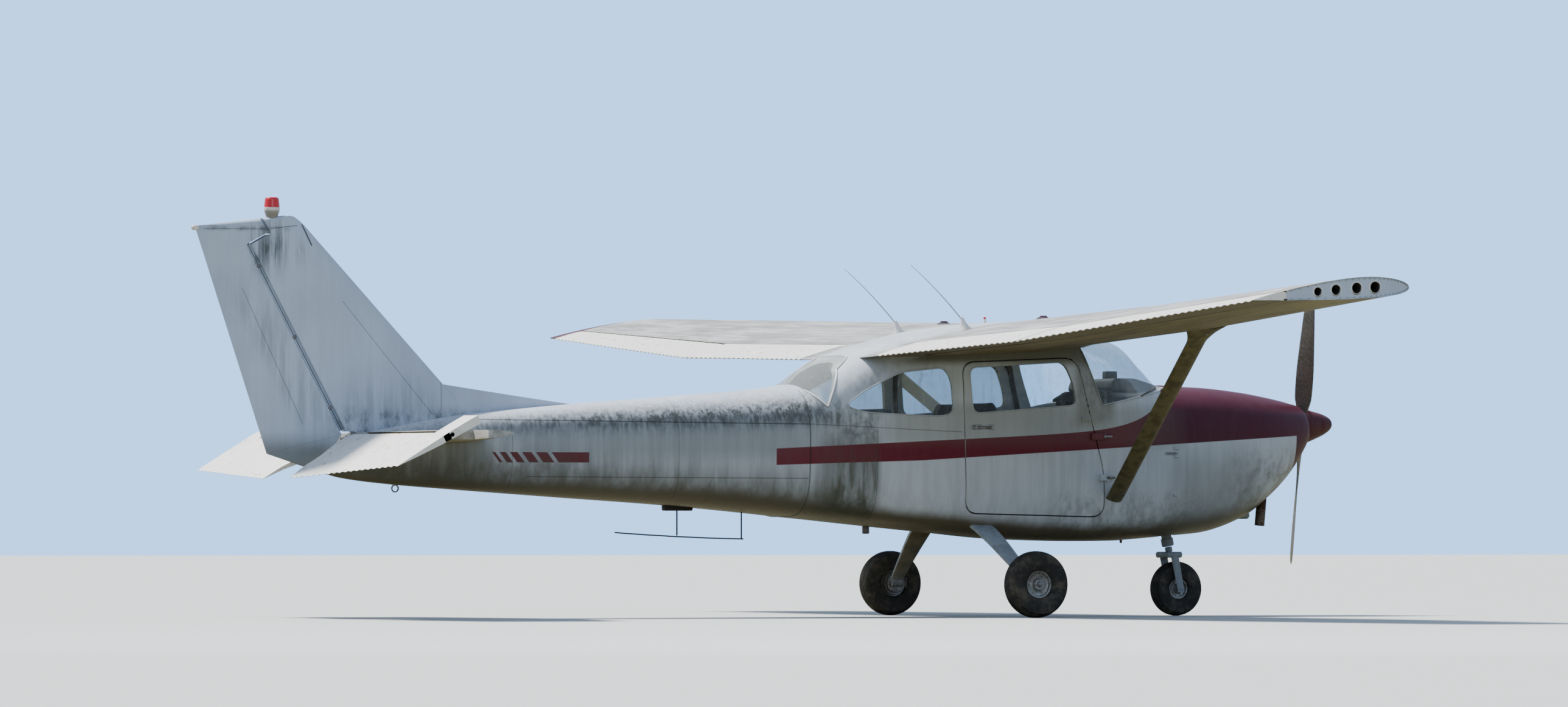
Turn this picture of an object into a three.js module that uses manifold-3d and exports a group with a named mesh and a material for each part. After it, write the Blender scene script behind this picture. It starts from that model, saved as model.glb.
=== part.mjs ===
// Four-seat high-wing light aircraft, parked on its nosewheel gear.
// Millimetres. x runs forward to the nose, y to the port (left) side, z up from the floor.
// Stations (x) are counted from the firewall; the last lines move the whole model so that
// the origin is on the floor under the middle of its outer box.
import * as THREE from "three";
import Module from "manifold-3d";
import { mergeVertices } from "three/addons/utils/BufferGeometryUtils.js";

const wasm = await Module();
wasm.setup();

const DEG = Math.PI / 180;
const vec = (x, y, z) => new THREE.Vector3(x, y, z);
const mix = (a, b, t) => a + (b - a) * t;

// Driving dimensions
const SEAT = 0.35;            // gap left between two pieces that touch
const RUN = 6;                // running gap round a moving panel
const NOSE_UP = 4.5 * DEG;    // how far the fuselage points up as it stands
const WALL = 28;              // cabin side, skin and lining together
const HALF_SPAN_RIB = 5283;   // last wing rib
const HALF_SPAN_CAP = 5510;   // outer edge of a wing tip cap
const PROP_RADIUS = 965;
const PROP_TURN = 17 * DEG;   // how far the upper blade leans to starboard
const HUB = vec(1114, 0, 1262);
const HUB_BACK = -38;         // rear face of the propeller, along its shaft
const propAxis = vec(Math.cos(NOSE_UP), 0, Math.sin(NOSE_UP));
const onPropAxis = (distance) => HUB.clone().addScaledVector(propAxis, distance);
const MAIN_WHEEL = { x: -1410, y: 1090, radius: 215, width: 155, bead: 88, bore: 20 };
const NOSE_WHEEL = { x: 170, y: 0, radius: 180, width: 125, bead: 68, bore: 12 };
const FIREWALL = 0;
const CABIN_END = -2720;
const TAIL_POST_TOP = vec(-5762, 0, 1172);
const TAIL_POST_FOOT = vec(-5905, 0, 925);
const RUDDER_HINGE = [vec(-5791, 0, 1196), vec(-6434, 0, 2372)];
const RUDDER_SWING = 17;      // degrees each way
const ELEVATOR_HINGE = { x: -5740, z: 1148 };
const ELEVATOR_REST = -27 * DEG;

// Body sections: station, bottom, top, half width, height of the widest line, and how square
// the upper and lower halves are (2 is an ellipse)
const BODY = [
  [1060, 1100, 1385, 222, 1228, 2.2, 2.2],
  [1034, 1062, 1402, 252, 1224, 2.3, 2.3],
  [975, 972, 1416, 296, 1212, 2.4, 2.3],
  [896, 880, 1434, 342, 1200, 2.4, 2.4],
  [758, 762, 1459, 402, 1185, 2.5, 2.6],
  [574, 640, 1487, 450, 1170, 2.6, 2.8],
  [255, 545, 1515, 485, 1155, 2.8, 3.1],
  [0, 527, 1521, 500, 1150, 2.9, 3.6],
  [-60, 520, 1530, 505, 1150, 2.75, 3.7],
  [-130, 514, 1558, 508, 1150, 2.65, 3.8],
  [-250, 505, 1677, 515, 1150, 2.65, 4.0],
  [-400, 496, 1806, 525, 1150, 3.1, 4.3],
  [-620, 494, 1863, 535, 1150, 4.1, 4.8],
  [-900, 500, 1912, 538, 1150, 4.6, 5.0],
  [-1150, 510, 1930, 538, 1150, 4.6, 5.0],
  [-1600, 551, 1892, 535, 1150, 4.6, 5.0],
  [-2000, 587, 1808, 520, 1150, 4.0, 4.6],
  [-2330, 618, 1712, 500, 1140, 3.3, 4.2],
  [-2500, 634, 1628, 487, 1135, 3.0, 4.0],
  [-2680, 650, 1516, 472, 1130, 2.8, 3.8],
  [-2720, 654, 1505, 468, 1130, 2.7, 3.7],
  [-3500, 722, 1430, 372, 1120, 2.6, 3.3],
  [-4360, 778, 1362, 262, 1110, 2.5, 3.0],
  [-5050, 824, 1295, 172, 1090, 2.4, 2.7],
  [-5500, 858, 1225, 108, 1060, 2.3, 2.5],
  [-5800, 895, 1165, 66, 1035, 2.2, 2.3],
  [-5950, 935, 1110, 45, 1025, 2.1, 2.1],
];
const RING_POINTS = 24;

// Wing sections: distance out, nose x and z, tail x and z, thickness as a share of the chord
const WING = [
  [545, -670, 1850, -2300, 1690, 0.125],
  [2553, -665, 1925, -2280, 1742, 0.112],
  [HALF_SPAN_RIB, -990, 2022, -2045, 1930, 0.122],
];
const WING_CAMBER = 0.02;
const FLAP_SPAN = [585, 2545];
const AILERON_SPAN = [2561, 5270];
const WING_HINGE = 0.79;      // share of the chord where flaps and ailerons turn
const FLAP_TRAVEL = 40;
const AILERON_TRAVEL = 17;

// Tailplane sections, in the same columns as the wing's
const TAILPLANE = [
  [40, -4830, 1158, -6315, 1142, 0.061],
  [1727, -5330, 1158, -6153, 1143, 0.064],
];
const HORN_FROM = 1500;       // the elevator's balance horn runs from here to the tip
const HORN_AHEAD = 205;

// Upright tail sections: height, nose x, tail x, thickness as a share of the chord
const UPRIGHT_TAIL = [
  [900, -4525, -6247, 0.07],
  [1500, -5096, -6452, 0.078],
  [2620, -6162, -6835, 0.115],
];

const PAINT = {
  white: { color: 0xd4d8d8, roughness: 0.5, metalness: 0.1 },
  maroon: { color: 0x5a1522, roughness: 0.45, metalness: 0.1 },
  grey: { color: 0x8c9094, roughness: 0.6, metalness: 0.3 },
  glass: { color: 0xb8c8cc, roughness: 0.15, metalness: 0.0 },
  rubber: { color: 0x1c1c1c, roughness: 0.9, metalness: 0.0 },
  dark: { color: 0x2b2f33, roughness: 0.7, metalness: 0.1 },
  cloth: { color: 0x39404a, roughness: 0.95, metalness: 0.0 },
  steel: { color: 0x5c5650, roughness: 0.5, metalness: 0.6 },
  red: { color: 0xc01a22, roughness: 0.3, metalness: 0.0 },
};

// Solids from geometry and back
function solidOf(geometry) {
  const plain = new THREE.BufferGeometry();
  plain.setAttribute("position", geometry.getAttribute("position"));
  if (geometry.index) plain.setIndex(geometry.index);
  const merged = mergeVertices(plain, 1e-3);
  return new wasm.Manifold(new wasm.Mesh({
    numProp: 3,
    vertProperties: new Float32Array(merged.getAttribute("position").array),
    triVerts: new Uint32Array(merged.index.array),
  }));
}

function geometryOf(solid) {
  const mesh = solid.getMesh();
  const geometry = new THREE.BufferGeometry();
  geometry.setAttribute("position", new THREE.BufferAttribute(mesh.vertProperties, 3));
  geometry.setIndex(new THREE.BufferAttribute(mesh.triVerts, 1));
  return geometry;
}

// Triangles of a flat ring, wound the way the ring runs
function capOf(ring) {
  const normal = vec(0, 0, 0);
  ring.forEach((p, i) => normal.add(vec(0, 0, 0).crossVectors(p, ring[(i + 1) % ring.length])));
  normal.normalize();
  const across = vec(0, 0, 0).subVectors(ring[1], ring[0]).projectOnPlane(normal).normalize();
  const along = vec(0, 0, 0).crossVectors(normal, across);
  const flat = ring.map((p) => new THREE.Vector2(p.dot(across), p.dot(along)));
  return THREE.ShapeUtils.triangulateShape(flat, []).map(([a, b, c]) => {
    const turn = (flat[b].x - flat[a].x) * (flat[c].y - flat[a].y)
      - (flat[b].y - flat[a].y) * (flat[c].x - flat[a].x);
    return turn > 0 ? [a, b, c] : [a, c, b];
  });
}

// A closed solid through rings that all have the same number of points
function loft(rings) {
  const count = rings[0].length;
  const faces = [];
  for (let i = 0; i + 1 < rings.length; i += 1) {
    for (let j = 0; j < count; j += 1) {
      const k = (j + 1) % count;
      const [a, b] = [i * count + j, i * count + k];
      faces.push([a, b, b + count], [a, b + count, a + count]);
    }
  }
  const last = (rings.length - 1) * count;
  capOf(rings[0]).forEach(([a, b, c]) => faces.push([a, c, b]));
  capOf(rings[rings.length - 1]).forEach(([a, b, c]) => faces.push([last + a, last + b, last + c]));
  const points = rings.flat();
  const volume = faces.reduce((sum, [a, b, c]) => sum
    + points[a].dot(vec(0, 0, 0).crossVectors(points[b], points[c])), 0);
  const geometry = new THREE.BufferGeometry().setFromPoints(points);
  geometry.setIndex((volume > 0 ? faces : faces.map(([a, b, c]) => [a, c, b])).flat());
  return solidOf(geometry);
}

function box(x0, x1, y0, y1, z0, z1) {
  const geometry = new THREE.BoxGeometry(Math.abs(x1 - x0), Math.abs(y1 - y0), Math.abs(z1 - z0));
  return solidOf(geometry).translate([(x0 + x1) / 2, (y0 + y1) / 2, (z0 + z1) / 2]);
}

// A round bar from p to q, or a cone when its two radii differ
function bar(p, q, radius, sides = 16, endRadius = radius) {
  const length = p.distanceTo(q);
  const geometry = new THREE.CylinderGeometry(endRadius, radius, length, sides);
  const turn = new THREE.Quaternion().setFromUnitVectors(vec(0, 1, 0), q.clone().sub(p).normalize());
  geometry.applyQuaternion(turn).translate(...p.clone().add(q).multiplyScalar(0.5).toArray());
  return solidOf(geometry);
}

// A turned piece about the Y direction through a centre; its profile lists [radius, offset in y]
function turned(profile, centre, sides) {
  const points = profile.map(([r, y]) => new THREE.Vector2(r, y));
  const geometry = new THREE.LatheGeometry([...points, points[0].clone()], sides);
  const solid = solidOf(geometry);
  return (solid.volume() < 0 ? flipped(geometry) : solid).translate(centre.toArray());
}

function flipped(geometry) {
  const index = Array.from(geometry.index.array);
  for (let i = 0; i < index.length; i += 3) [index[i], index[i + 1]] = [index[i + 1], index[i]];
  geometry.setIndex(index);
  return solidOf(geometry);
}

// Moves every edge of an outline outwards, or inwards when the distance is negative
function offsetOutline(points, distance) {
  const area = points.reduce((sum, [x, z], i) => {
    const [x1, z1] = points[(i + 1) % points.length];
    return sum + x * z1 - x1 * z;
  }, 0);
  const push = area > 0 ? distance : -distance;
  const edges = points.map(([x, z], i) => {
    const [x1, z1] = points[(i + 1) % points.length];
    const length = Math.hypot(x1 - x, z1 - z);
    const [nx, nz] = [(z1 - z) / length, -(x1 - x) / length];
    return [nx, nz, nx * x + nz * z + push];
  });
  return points.map((_, i) => {
    const [a, b, c] = edges[(i + points.length - 1) % points.length];
    const [d, e, f] = edges[i];
    const det = a * e - b * d;
    return [(c * e - b * f) / det, (a * f - c * d) / det];
  });
}

// A side-view outline of [x, z] points with rounded corners, carried from y0 to y1
function sidePrism(outline, y0, y1, radius = 0, steps = 4) {
  const points = [];
  outline.forEach(([x, z], i) => {
    if (radius === 0) return points.push(new THREE.Vector2(x, z));
    const before = outline[(i + outline.length - 1) % outline.length];
    const after = outline[(i + 1) % outline.length];
    const toward = ([px, pz]) => {
      const reach = Math.min(radius, Math.hypot(px - x, pz - z) * 0.45) / Math.hypot(px - x, pz - z);
      return new THREE.Vector2(mix(x, px, reach), mix(z, pz, reach));
    };
    const curve = new THREE.QuadraticBezierCurve(toward(before), new THREE.Vector2(x, z), toward(after));
    return points.push(...curve.getPoints(steps));
  });
  const shape = new THREE.Shape(points);
  const geometry = new THREE.ExtrudeGeometry(shape, { depth: Math.abs(y1 - y0), bevelEnabled: false });
  geometry.rotateX(90 * DEG).translate(0, Math.max(y0, y1), 0);
  return solidOf(geometry);
}

// Body rings and their solids
function bodyRow(x) {
  const i = Math.max(1, BODY.findIndex(([station]) => station <= x));
  const [a, b] = [BODY[i - 1], BODY[i]];
  const t = (x - a[0]) / (b[0] - a[0]);
  return a.map((value, column) => mix(value, b[column], t));
}

function bodyRing(x, grow) {
  const [, bottom, top, half, middle, upper, lower] = bodyRow(x);
  return Array.from({ length: RING_POINTS }, (_, i) => {
    const angle = ((i + 0.5) / RING_POINTS) * 2 * Math.PI;
    const [c, s] = [Math.cos(angle), Math.sin(angle)];
    const power = 2 / (s > 0 ? upper : lower);
    const height = s > 0 ? top + grow - middle : middle - (bottom - grow);
    return vec(
      x,
      Math.sign(c) * Math.abs(c) ** power * (half + grow),
      middle + Math.sign(s) * Math.abs(s) ** power * height,
    );
  });
}

// The body's outer form between two stations, larger or smaller all round by grow
function bodySolid(from, to, grow = 0) {
  const stations = BODY.map(([x]) => x).filter((x) => x < from - 1 && x > to + 1);
  return loft([from, ...stations, to].map((x) => bodyRing(x, grow)));
}

// Wing-like sections
function foil(share, thickness, camber) {
  const half = 5 * thickness * (0.2969 * Math.sqrt(share) - 0.126 * share
    - 0.3516 * share ** 2 + 0.2843 * share ** 3 - 0.1015 * share ** 4);
  const peak = 0.4;
  const line = share < peak
    ? (camber / peak ** 2) * (2 * peak * share - share ** 2)
    : (camber / (1 - peak) ** 2) * (1 - 2 * peak + 2 * peak * share - share ** 2);
  return { line, half };
}

// One section of a wing-like surface: place(share, height) gives the point at that share of the
// chord and height above it in millimetres
function sectionAt(table, out, side, camber) {
  const i = Math.max(1, table.findIndex(([y]) => y >= out));
  const [a, b] = [table[i - 1], table[i < 1 ? table.length - 1 : i]];
  const t = (out - a[0]) / (b[0] - a[0]);
  const [, noseX, noseZ, tailX, tailZ, thickness] = a.map((value, column) => mix(value, b[column], t));
  const chord = Math.hypot(tailX - noseX, tailZ - noseZ);
  const [dx, dz] = [(tailX - noseX) / chord, (tailZ - noseZ) / chord];
  const place = (share, height) => vec(
    noseX + dx * share * chord + dz * height,
    side * out,
    noseZ + dz * share * chord - dx * height,
  );
  const skin = (share, face) => {
    const { line, half } = foil(share, thickness, camber);
    return place(share, (line + face * half) * chord);
  };
  const shares = { upper: (share) => skin(share, 1), lower: (share) => skin(share, -1) };
  return { chord, place, ...shares, ...{ foil: (share) => foil(share, thickness, camber) } };
}

const NOSE_SHARES = [0.55, 0.3, 0.15, 0.06, 0.012];
const ARC = [-90, -60, -30, 0, 30, 60, 90].map((angle) => angle * DEG);

// The size of the round nose of a moving panel, and of the hollow that it turns in
function hingeSizes(section, hinge) {
  const { line, half } = section.foil(hinge);
  const thick = half * section.chord;
  return { level: line * section.chord, thick, nose: thick - RUN - 3.5, cove: thick - 2 };
}

function aroundHinge(section, hinge, level, radius) {
  return (angle) => section.place(
    hinge - (radius * Math.cos(angle)) / section.chord,
    level + radius * Math.sin(angle),
  );
}

// The fixed part of a section, with a hollow at its rear for the nose of the moving panel
function fixedRing(section, hinge) {
  const { level, cove } = hingeSizes(section, hinge);
  const shares = NOSE_SHARES.map((share) => (share * hinge) / WING_HINGE);
  return [
    section.upper(hinge),
    ...shares.map(section.upper),
    section.place(0, 0),
    ...[...shares].reverse().map(section.lower),
    section.lower(hinge),
    ...ARC.map(aroundHinge(section, hinge, level, cove)),
  ];
}

// A moving panel: round nose, then the full thickness from just behind the hinge to the tail
function movingRing(section, hinge, travelUp, travelDown) {
  const { level, thick, nose } = hingeSizes(section, hinge);
  const step = (travel) => RUN / Math.cos(travel * DEG) + thick * Math.tan(travel * DEG);
  const [up, down] = [travelUp, travelDown].map((travel) => hinge + step(travel) / section.chord);
  const middle = (start) => mix(start, 1, 0.5);
  const around = aroundHinge(section, hinge, level, nose);
  const behind = (travel) => 90 * DEG + travel * DEG + Math.asin(RUN / nose);
  return [
    section.upper(1),
    section.upper(middle(up)),
    section.upper(up),
    around(behind(travelUp)),
    ...[...ARC].reverse().map(around),
    around(-behind(travelDown)),
    section.lower(down),
    section.lower(middle(down)),
    section.lower(1),
  ];
}

// A whole section from nose to tail
function wholeRing(section) {
  const shares = [1, 0.8, ...NOSE_SHARES];
  return [
    ...shares.map(section.upper),
    section.place(0, 0),
    ...[...shares].reverse().map(section.lower),
  ];
}

function hingePoint(section, hinge) {
  return section.place(hinge, hingeSizes(section, hinge).level);
}

// Joins a moving panel to what carries it with a pin and bracket at each share of the hinge line
function hang(fixed, moving, [p, q], forward, pinRadius, shares) {
  const along = q.clone().sub(p).normalize();
  const up = vec(0, 0, 0).crossVectors(forward, along).normalize();
  const basis = new THREE.Matrix4().makeBasis(forward, along, up);
  const [plate, room, reach, behind] = [14, 24, 75, 14];
  const block = (centre, x0, x1, halfWidth, halfHeight) => {
    const geometry = new THREE.BoxGeometry(x1 - x0, halfWidth * 2, halfHeight * 2);
    geometry.translate((x0 + x1) / 2, 0, 0).applyMatrix4(basis).translate(...centre.toArray());
    return solidOf(geometry);
  };
  let [carrier, panel] = [fixed, moving];
  shares.forEach((share) => {
    const centre = p.clone().lerp(q, share);
    const end = (distance) => centre.clone().addScaledVector(along, distance);
    const pin = bar(end(-plate / 2 - 16), end(plate / 2 + 16), pinRadius, 8);
    const bore = bar(end(-plate / 2 - 17), end(plate / 2 + 17), pinRadius + 1, 8);
    panel = panel.subtract(block(centre, -behind, reach + 20, room / 2, 70)).subtract(bore);
    const bracket = block(centre, -pinRadius - 2, reach, plate / 2, pinRadius + 2);
    carrier = carrier.add(bracket).add(pin);
  });
  return [carrier, panel];
}

const model = new THREE.Group();

function addNode(name, solid, paint, group = model) {
  const mesh = new THREE.Mesh(geometryOf(solid), new THREE.MeshStandardMaterial(paint));
  mesh.name = name;
  group.add(mesh);
}

const SIDES = [["left", 1], ["right", -1]];

// Cowling: a shell with two air inlets, an intake and an outlet underneath
const COWL_WALL = 10;
const COWL_FACE = 1060;
const NOSE_LEG = { top: vec(32, 0, 860), foot: vec(170, 0, 180) };
const noseLegAt = (z) => NOSE_LEG.top.clone().lerp(
  NOSE_LEG.foot,
  (NOSE_LEG.top.z - z) / (NOSE_LEG.top.z - NOSE_LEG.foot.z),
);

const ENGINE_UNDER = 840;
const EXHAUST = { from: vec(714, -205, ENGINE_UNDER + 20), to: vec(690, -205, 598), radius: 33 };

function buildCowling() {
  const outer = bodySolid(COWL_FACE, SEAT);
  const inner = loft([COWL_FACE - COWL_WALL, 1034, 975, 896, 758, 574, 255, FIREWALL]
    .map((x) => bodyRing(x, -COWL_WALL)));
  let shell = outer.subtract(inner);
  SIDES.forEach(([, side]) => {
    const inlet = [[980, 1165], [980, 1290], [1120, 1290], [1120, 1165]];
    shell = shell.subtract(sidePrism(inlet, side * 112, side * 172));
  });
  shell = shell.subtract(box(930, 1060, -60, 60, 985, 1050));
  shell = shell.subtract(bar(vec(980, 0, HUB.z - 8), vec(1120, 0, HUB.z), 62, 24));
  shell = shell.subtract(box(-10, 110, -190, 190, 480, 600));
  shell = shell.subtract(bar(EXHAUST.to, EXHAUST.from, EXHAUST.radius + 3, 20));
  return shell.subtract(bar(noseLegAt(700), noseLegAt(430), 62, 20));
}
addNode("cowling", buildCowling(), PAINT.maroon);

// Engine: one plain block with its shaft and the mounting that reaches the firewall
function buildEngine() {
  return box(140, 880, -370, 370, ENGINE_UNDER, 1400).intersect(bodySolid(920, 100, -COWL_WALL - 8))
    .add(box(SEAT, 220, -150, 150, 1040, 1300))
    .add(bar(onPropAxis(-340), onPropAxis(HUB_BACK - SEAT), 45, 20));
}
addNode("engine_block", buildEngine(), PAINT.steel);

// Cabin: outer shell less the room inside, then doors, windows and the joints between panels
const cabinOuter = bodySolid(FIREWALL, CABIN_END);
const cabinGrown = bodySolid(200, -6000, SEAT);
const cabinRoom = loft([10, 0, -60, -130, -250, -400, -620, -900, -1150, -1600, -2000, -2330,
  -2500, -2680, CABIN_END - 20].map((x) => bodyRing(x, -WALL)));

const DOOR = [[-1655, 1652], [-1628, 678], [-626, 655], [-640, 950], [-745, 1337], [-832, 1690]];
const DOOR_CORNER = 95;
const DOOR_GAP = 7.5;
const DOOR_WINDOW = [[-1609, 1622], [-1587, 1324], [-830, 1382], [-857, 1530], [-918, 1664]];
const SIDE_WINDOW = [[-2480, 1368], [-2320, 1478], [-2084, 1588], [-1782, 1622], [-1735, 1540],
  [-1722, 1322], [-1830, 1304], [-2340, 1325]];
const WINDSHIELD = [[-648, 1382], [18, 1519], [120, 1540], [120, 2000], [-618, 2000],
  [-618, 1800], [-785, 1760]];
const REAR_WINDOW = [[-2350, 1820], [-2347, 1690], [-2462, 1606], [-2592, 1357], [-2690, 1470],
  [-2706, 1560], [-2706, 1820]];
const GLASS = 7;              // thickness of every pane
const PANE_DEPTH = 10;        // how far a pane lies below the outer skin
const paneLayer = bodySolid(90, -2715, -PANE_DEPTH).subtract(loft(
  [100, 0, -60, -130, -250, -400, -620, -900, -1150, -1600, -2000, -2330, -2500, -2680, -2719]
    .map((x) => bodyRing(x, -PANE_DEPTH - GLASS)),
));
const windshieldLayer = bodySolid(90, -2715, -3).subtract(loft(
  [100, 0, -60, -130, -250, -400, -620, -900, -1150, -1600, -2000, -2330, -2500, -2680, -2719]
    .map((x) => bodyRing(x, -3 - GLASS)),
));

// Door hinges: how far up the hinge line each one sits, and how far back its strap reaches
const DOOR_HINGE = {
  foot: vec(-596, 552, 660),
  way: vec(-Math.sin(NOSE_UP), 0, Math.cos(NOSE_UP)),
  straps: [[250, 54], [520, 95]],
};

function doorHingePoint(side, height) {
  const point = DOOR_HINGE.foot.clone().addScaledVector(DOOR_HINGE.way, height);
  return vec(point.x, side * point.y, point.z);
}

function alongHinge(side, height, half, radius, sides) {
  return bar(doorHingePoint(side, height - half), doorHingePoint(side, height + half), radius, sides);
}

function addHingePins(panel, side) {
  return DOOR_HINGE.straps.reduce((solid, [height]) => {
    const { x, y, z } = doorHingePoint(side, height);
    return solid.add(box(x - 8, x + 52, side * 506, y + side * 8, z - 7, z + 7))
      .add(alongHinge(side, height, 23, 5, 8));
  }, panel);
}

function addHingeStraps(door, side) {
  return DOOR_HINGE.straps.reduce((solid, [height, reach]) => {
    const { x, y, z } = doorHingePoint(side, height);
    const strap = box(x - reach, x, y - side * 6, y + side * 4, z - 22, z + 22)
      .add(box(x - reach, x - reach + 24, side * 512, y + side * 4, z - 22, z + 22))
      .add(alongHinge(side, height, 22, 10.5, 12))
      .subtract(alongHinge(side, height, 12, 17, 16))
      .subtract(alongHinge(side, height, 30, 6, 8));
    return solid.add(strap);
  }, door);
}

const ROOF_LINE = 1712;       // above it is the roof panel
const BELLY_LINE = 640;       // below it is the belly panel

function buildCabin() {
  let shell = cabinOuter.subtract(cabinRoom)
    .subtract(sidePrism(WINDSHIELD, -700, 700))
    .subtract(sidePrism(REAR_WINDOW, -700, 700));
  shell = shell.subtract(sidePrism(offsetOutline(DOOR, DOOR_GAP), -700, 700, DOOR_CORNER));
  shell = shell.subtract(sidePrism(SIDE_WINDOW, -700, 700, 45));
  const half = SEAT / 2;
  addNode("cabin_roof", shell.intersect(box(-4000, 200, -700, 700, ROOF_LINE + half, 2200)), PAINT.white);
  const ahead = shell.subtract(box(-4000, 200, -700, 700, ROOF_LINE - half, 2200));
  addNode("cabin_belly", ahead.intersect(box(-4000, 200, -700, 700, 0, BELLY_LINE - half)), PAINT.white);
  SIDES.forEach(([name, side]) => {
    const part = ahead.intersect(box(-4000, 200, side * half, side * 700, BELLY_LINE + half, 2200));
    addNode(`cabin_side_${name}`, addHingePins(part, side), PAINT.white);
  });
}
buildCabin();

addNode("windshield", windshieldLayer.intersect(
  sidePrism(offsetOutline(WINDSHIELD, -SEAT), -700, 700),
).intersect(box(-900, FIREWALL, -700, 700, 1300, 1990)), PAINT.glass);
addNode("rear_window", windshieldLayer.intersect(
  sidePrism(offsetOutline(REAR_WINDOW, -SEAT), -700, 700),
), PAINT.glass);
SIDES.forEach(([name, side]) => {
  const pane = paneLayer.intersect(sidePrism(offsetOutline(SIDE_WINDOW, -SEAT), side * 100, side * 700, 45));
  addNode(`side_window_${name}`, pane, PAINT.glass);
});

// Firewall and floor fill the room to its lining
const lining = loft([10, 0, -60, -130, -250, -400, -620, -900, -1150, -1600, -2000, -2330,
  -2500, -2680, CABIN_END - 20].map((x) => bodyRing(x, -WALL - SEAT)));
addNode("firewall", lining.intersect(box(-14, 0, -700, 700, 400, 1600)), PAINT.grey);
addNode("cabin_floor", lining.intersect(box(CABIN_END + 1, -15, -700, 700, 612, 630)), PAINT.dark);

// Instrument panel with its shelf and two control wheels
function buildPanel() {
  const face = box(-500, -460, -700, 700, 1090, 1500);
  const shelf = box(-500, -230, -700, 700, 1465, 1485);
  let panel = lining.intersect(face.add(shelf)).subtract(box(-520, -440, -700, 700, 1000, 1100));
  SIDES.forEach(([, side]) => {
    const hub = vec(-640, side * 235, 1275);
    const grip = (dy) => bar(
      hub.clone().add(vec(0, dy, -25)),
      hub.clone().add(vec(0, dy * 1.15, 95)),
      14,
      10,
    );
    panel = panel.add(bar(vec(-480, side * 235, 1262), hub, 14, 12))
      .add(bar(hub.clone().add(vec(0, -125, -18)), hub.clone().add(vec(0, 125, -18)), 14, 10))
      .add(grip(-120))
      .add(grip(120));
  });
  return panel;
}
addNode("instrument_panel", buildPanel(), PAINT.dark);

// Seats: one side-view outline each, standing on the floor
const FLOOR_TOP = 630 + SEAT;
const FRONT_SEAT = [[-1330, FLOOR_TOP], [-960, FLOOR_TOP], [-960, 800], [-880, 815], [-880, 900],
  [-1290, 875], [-1335, 1470], [-1440, 1470], [-1420, 800], [-1330, 780]];
const REAR_SEAT = [[-2060, FLOOR_TOP], [-1680, FLOOR_TOP], [-1640, 820], [-1640, 905],
  [-1985, 895], [-2045, 1400], [-2145, 1400], [-2110, 820], [-2060, 800]];
const seatRoom = bodySolid(-300, -2600, -WALL - 22);
SIDES.forEach(([name, side]) => {
  const seat = sidePrism(FRONT_SEAT, side * 45, side * 450).intersect(seatRoom);
  addNode(`seat_front_${name}`, seat, PAINT.cloth);
});
addNode("seat_rear", sidePrism(REAR_SEAT, -455, 455).intersect(seatRoom), PAINT.cloth);

// Doors and their panes
function buildDoor(side) {
  const shell = cabinOuter.subtract(cabinRoom);
  const panel = shell.intersect(sidePrism(DOOR, side * 100, side * 700, DOOR_CORNER))
    .subtract(sidePrism(DOOR_WINDOW, side * 100, side * 700, 45));
  return addHingeStraps(panel, side);
}
SIDES.forEach(([name, side]) => {
  const pane = paneLayer.intersect(sidePrism(offsetOutline(DOOR_WINDOW, -SEAT), side * 100, side * 700, 45));
  addNode(`door_${name}`, buildDoor(side), PAINT.white);
  addNode(`door_glass_${name}`, pane, PAINT.glass);
});

// Tail cone: a thin shell, open to the cabin, notched for the elevator's cross tube
const CONE_WALL = 6;
const keepCone = [[CABIN_END - SEAT, 400], [TAIL_POST_FOOT.x, 400], [TAIL_POST_FOOT.x, TAIL_POST_FOOT.z],
  [TAIL_POST_TOP.x, TAIL_POST_TOP.z], [TAIL_POST_TOP.x, 1700], [CABIN_END - SEAT, 1700]];
const coneOuter = bodySolid(CABIN_END, -5950).intersect(sidePrism(keepCone, -700, 700));
const coneGrown = bodySolid(CABIN_END, -5950, SEAT);
const tubeNotch = box(ELEVATOR_HINGE.x - 120, ELEVATOR_HINGE.x + 26, -300, 300,
  ELEVATOR_HINGE.z - 26, ELEVATOR_HINGE.z + 42);
const coneRoom = loft([CABIN_END + 5, -3500, -4360, -5050, -5500].map((x) => bodyRing(x, -CONE_WALL)));
addNode("tail_cone", coneOuter.subtract(coneRoom).subtract(tubeNotch), PAINT.white);

// Wings with their flaps and ailerons
function wingSection(out, side) {
  return sectionAt(WING, out, side, WING_CAMBER);
}

function wingHingeLine(span, side) {
  return span.map((out) => hingePoint(wingSection(out, side), WING_HINGE));
}

const LIGHTENING_HOLES = [[0.216, 34], [0.335, 33], [0.469, 31], [0.586, 26]];

function buildWing(side) {
  const stations = [250, 545, 2553, HALF_SPAN_RIB];
  let wing = loft(stations.map((out) => fixedRing(wingSection(out, side), WING_HINGE)));
  wing = wing.add(loft([250, FLAP_SPAN[0] - RUN].map((out) => wholeRing(wingSection(out, side)))));
  return wing.subtract(cabinGrown);
}

function holeTipRib(wing, side) {
  const section = wingSection(HALF_SPAN_RIB, side);
  return LIGHTENING_HOLES.reduce((solid, [share, radius]) => {
    const centre = section.place(share, section.foil(share).line * section.chord);
    const reach = vec(0, side, 0);
    const drill = bar(centre.clone().addScaledVector(reach, -160), centre.clone().addScaledVector(reach, 20), radius, 20);
    return solid.subtract(drill);
  }, wing);
}

function buildPanelBetween(span, side, up, down) {
  return loft(span.map((out) => movingRing(wingSection(out, side), WING_HINGE, up, down)));
}

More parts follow.
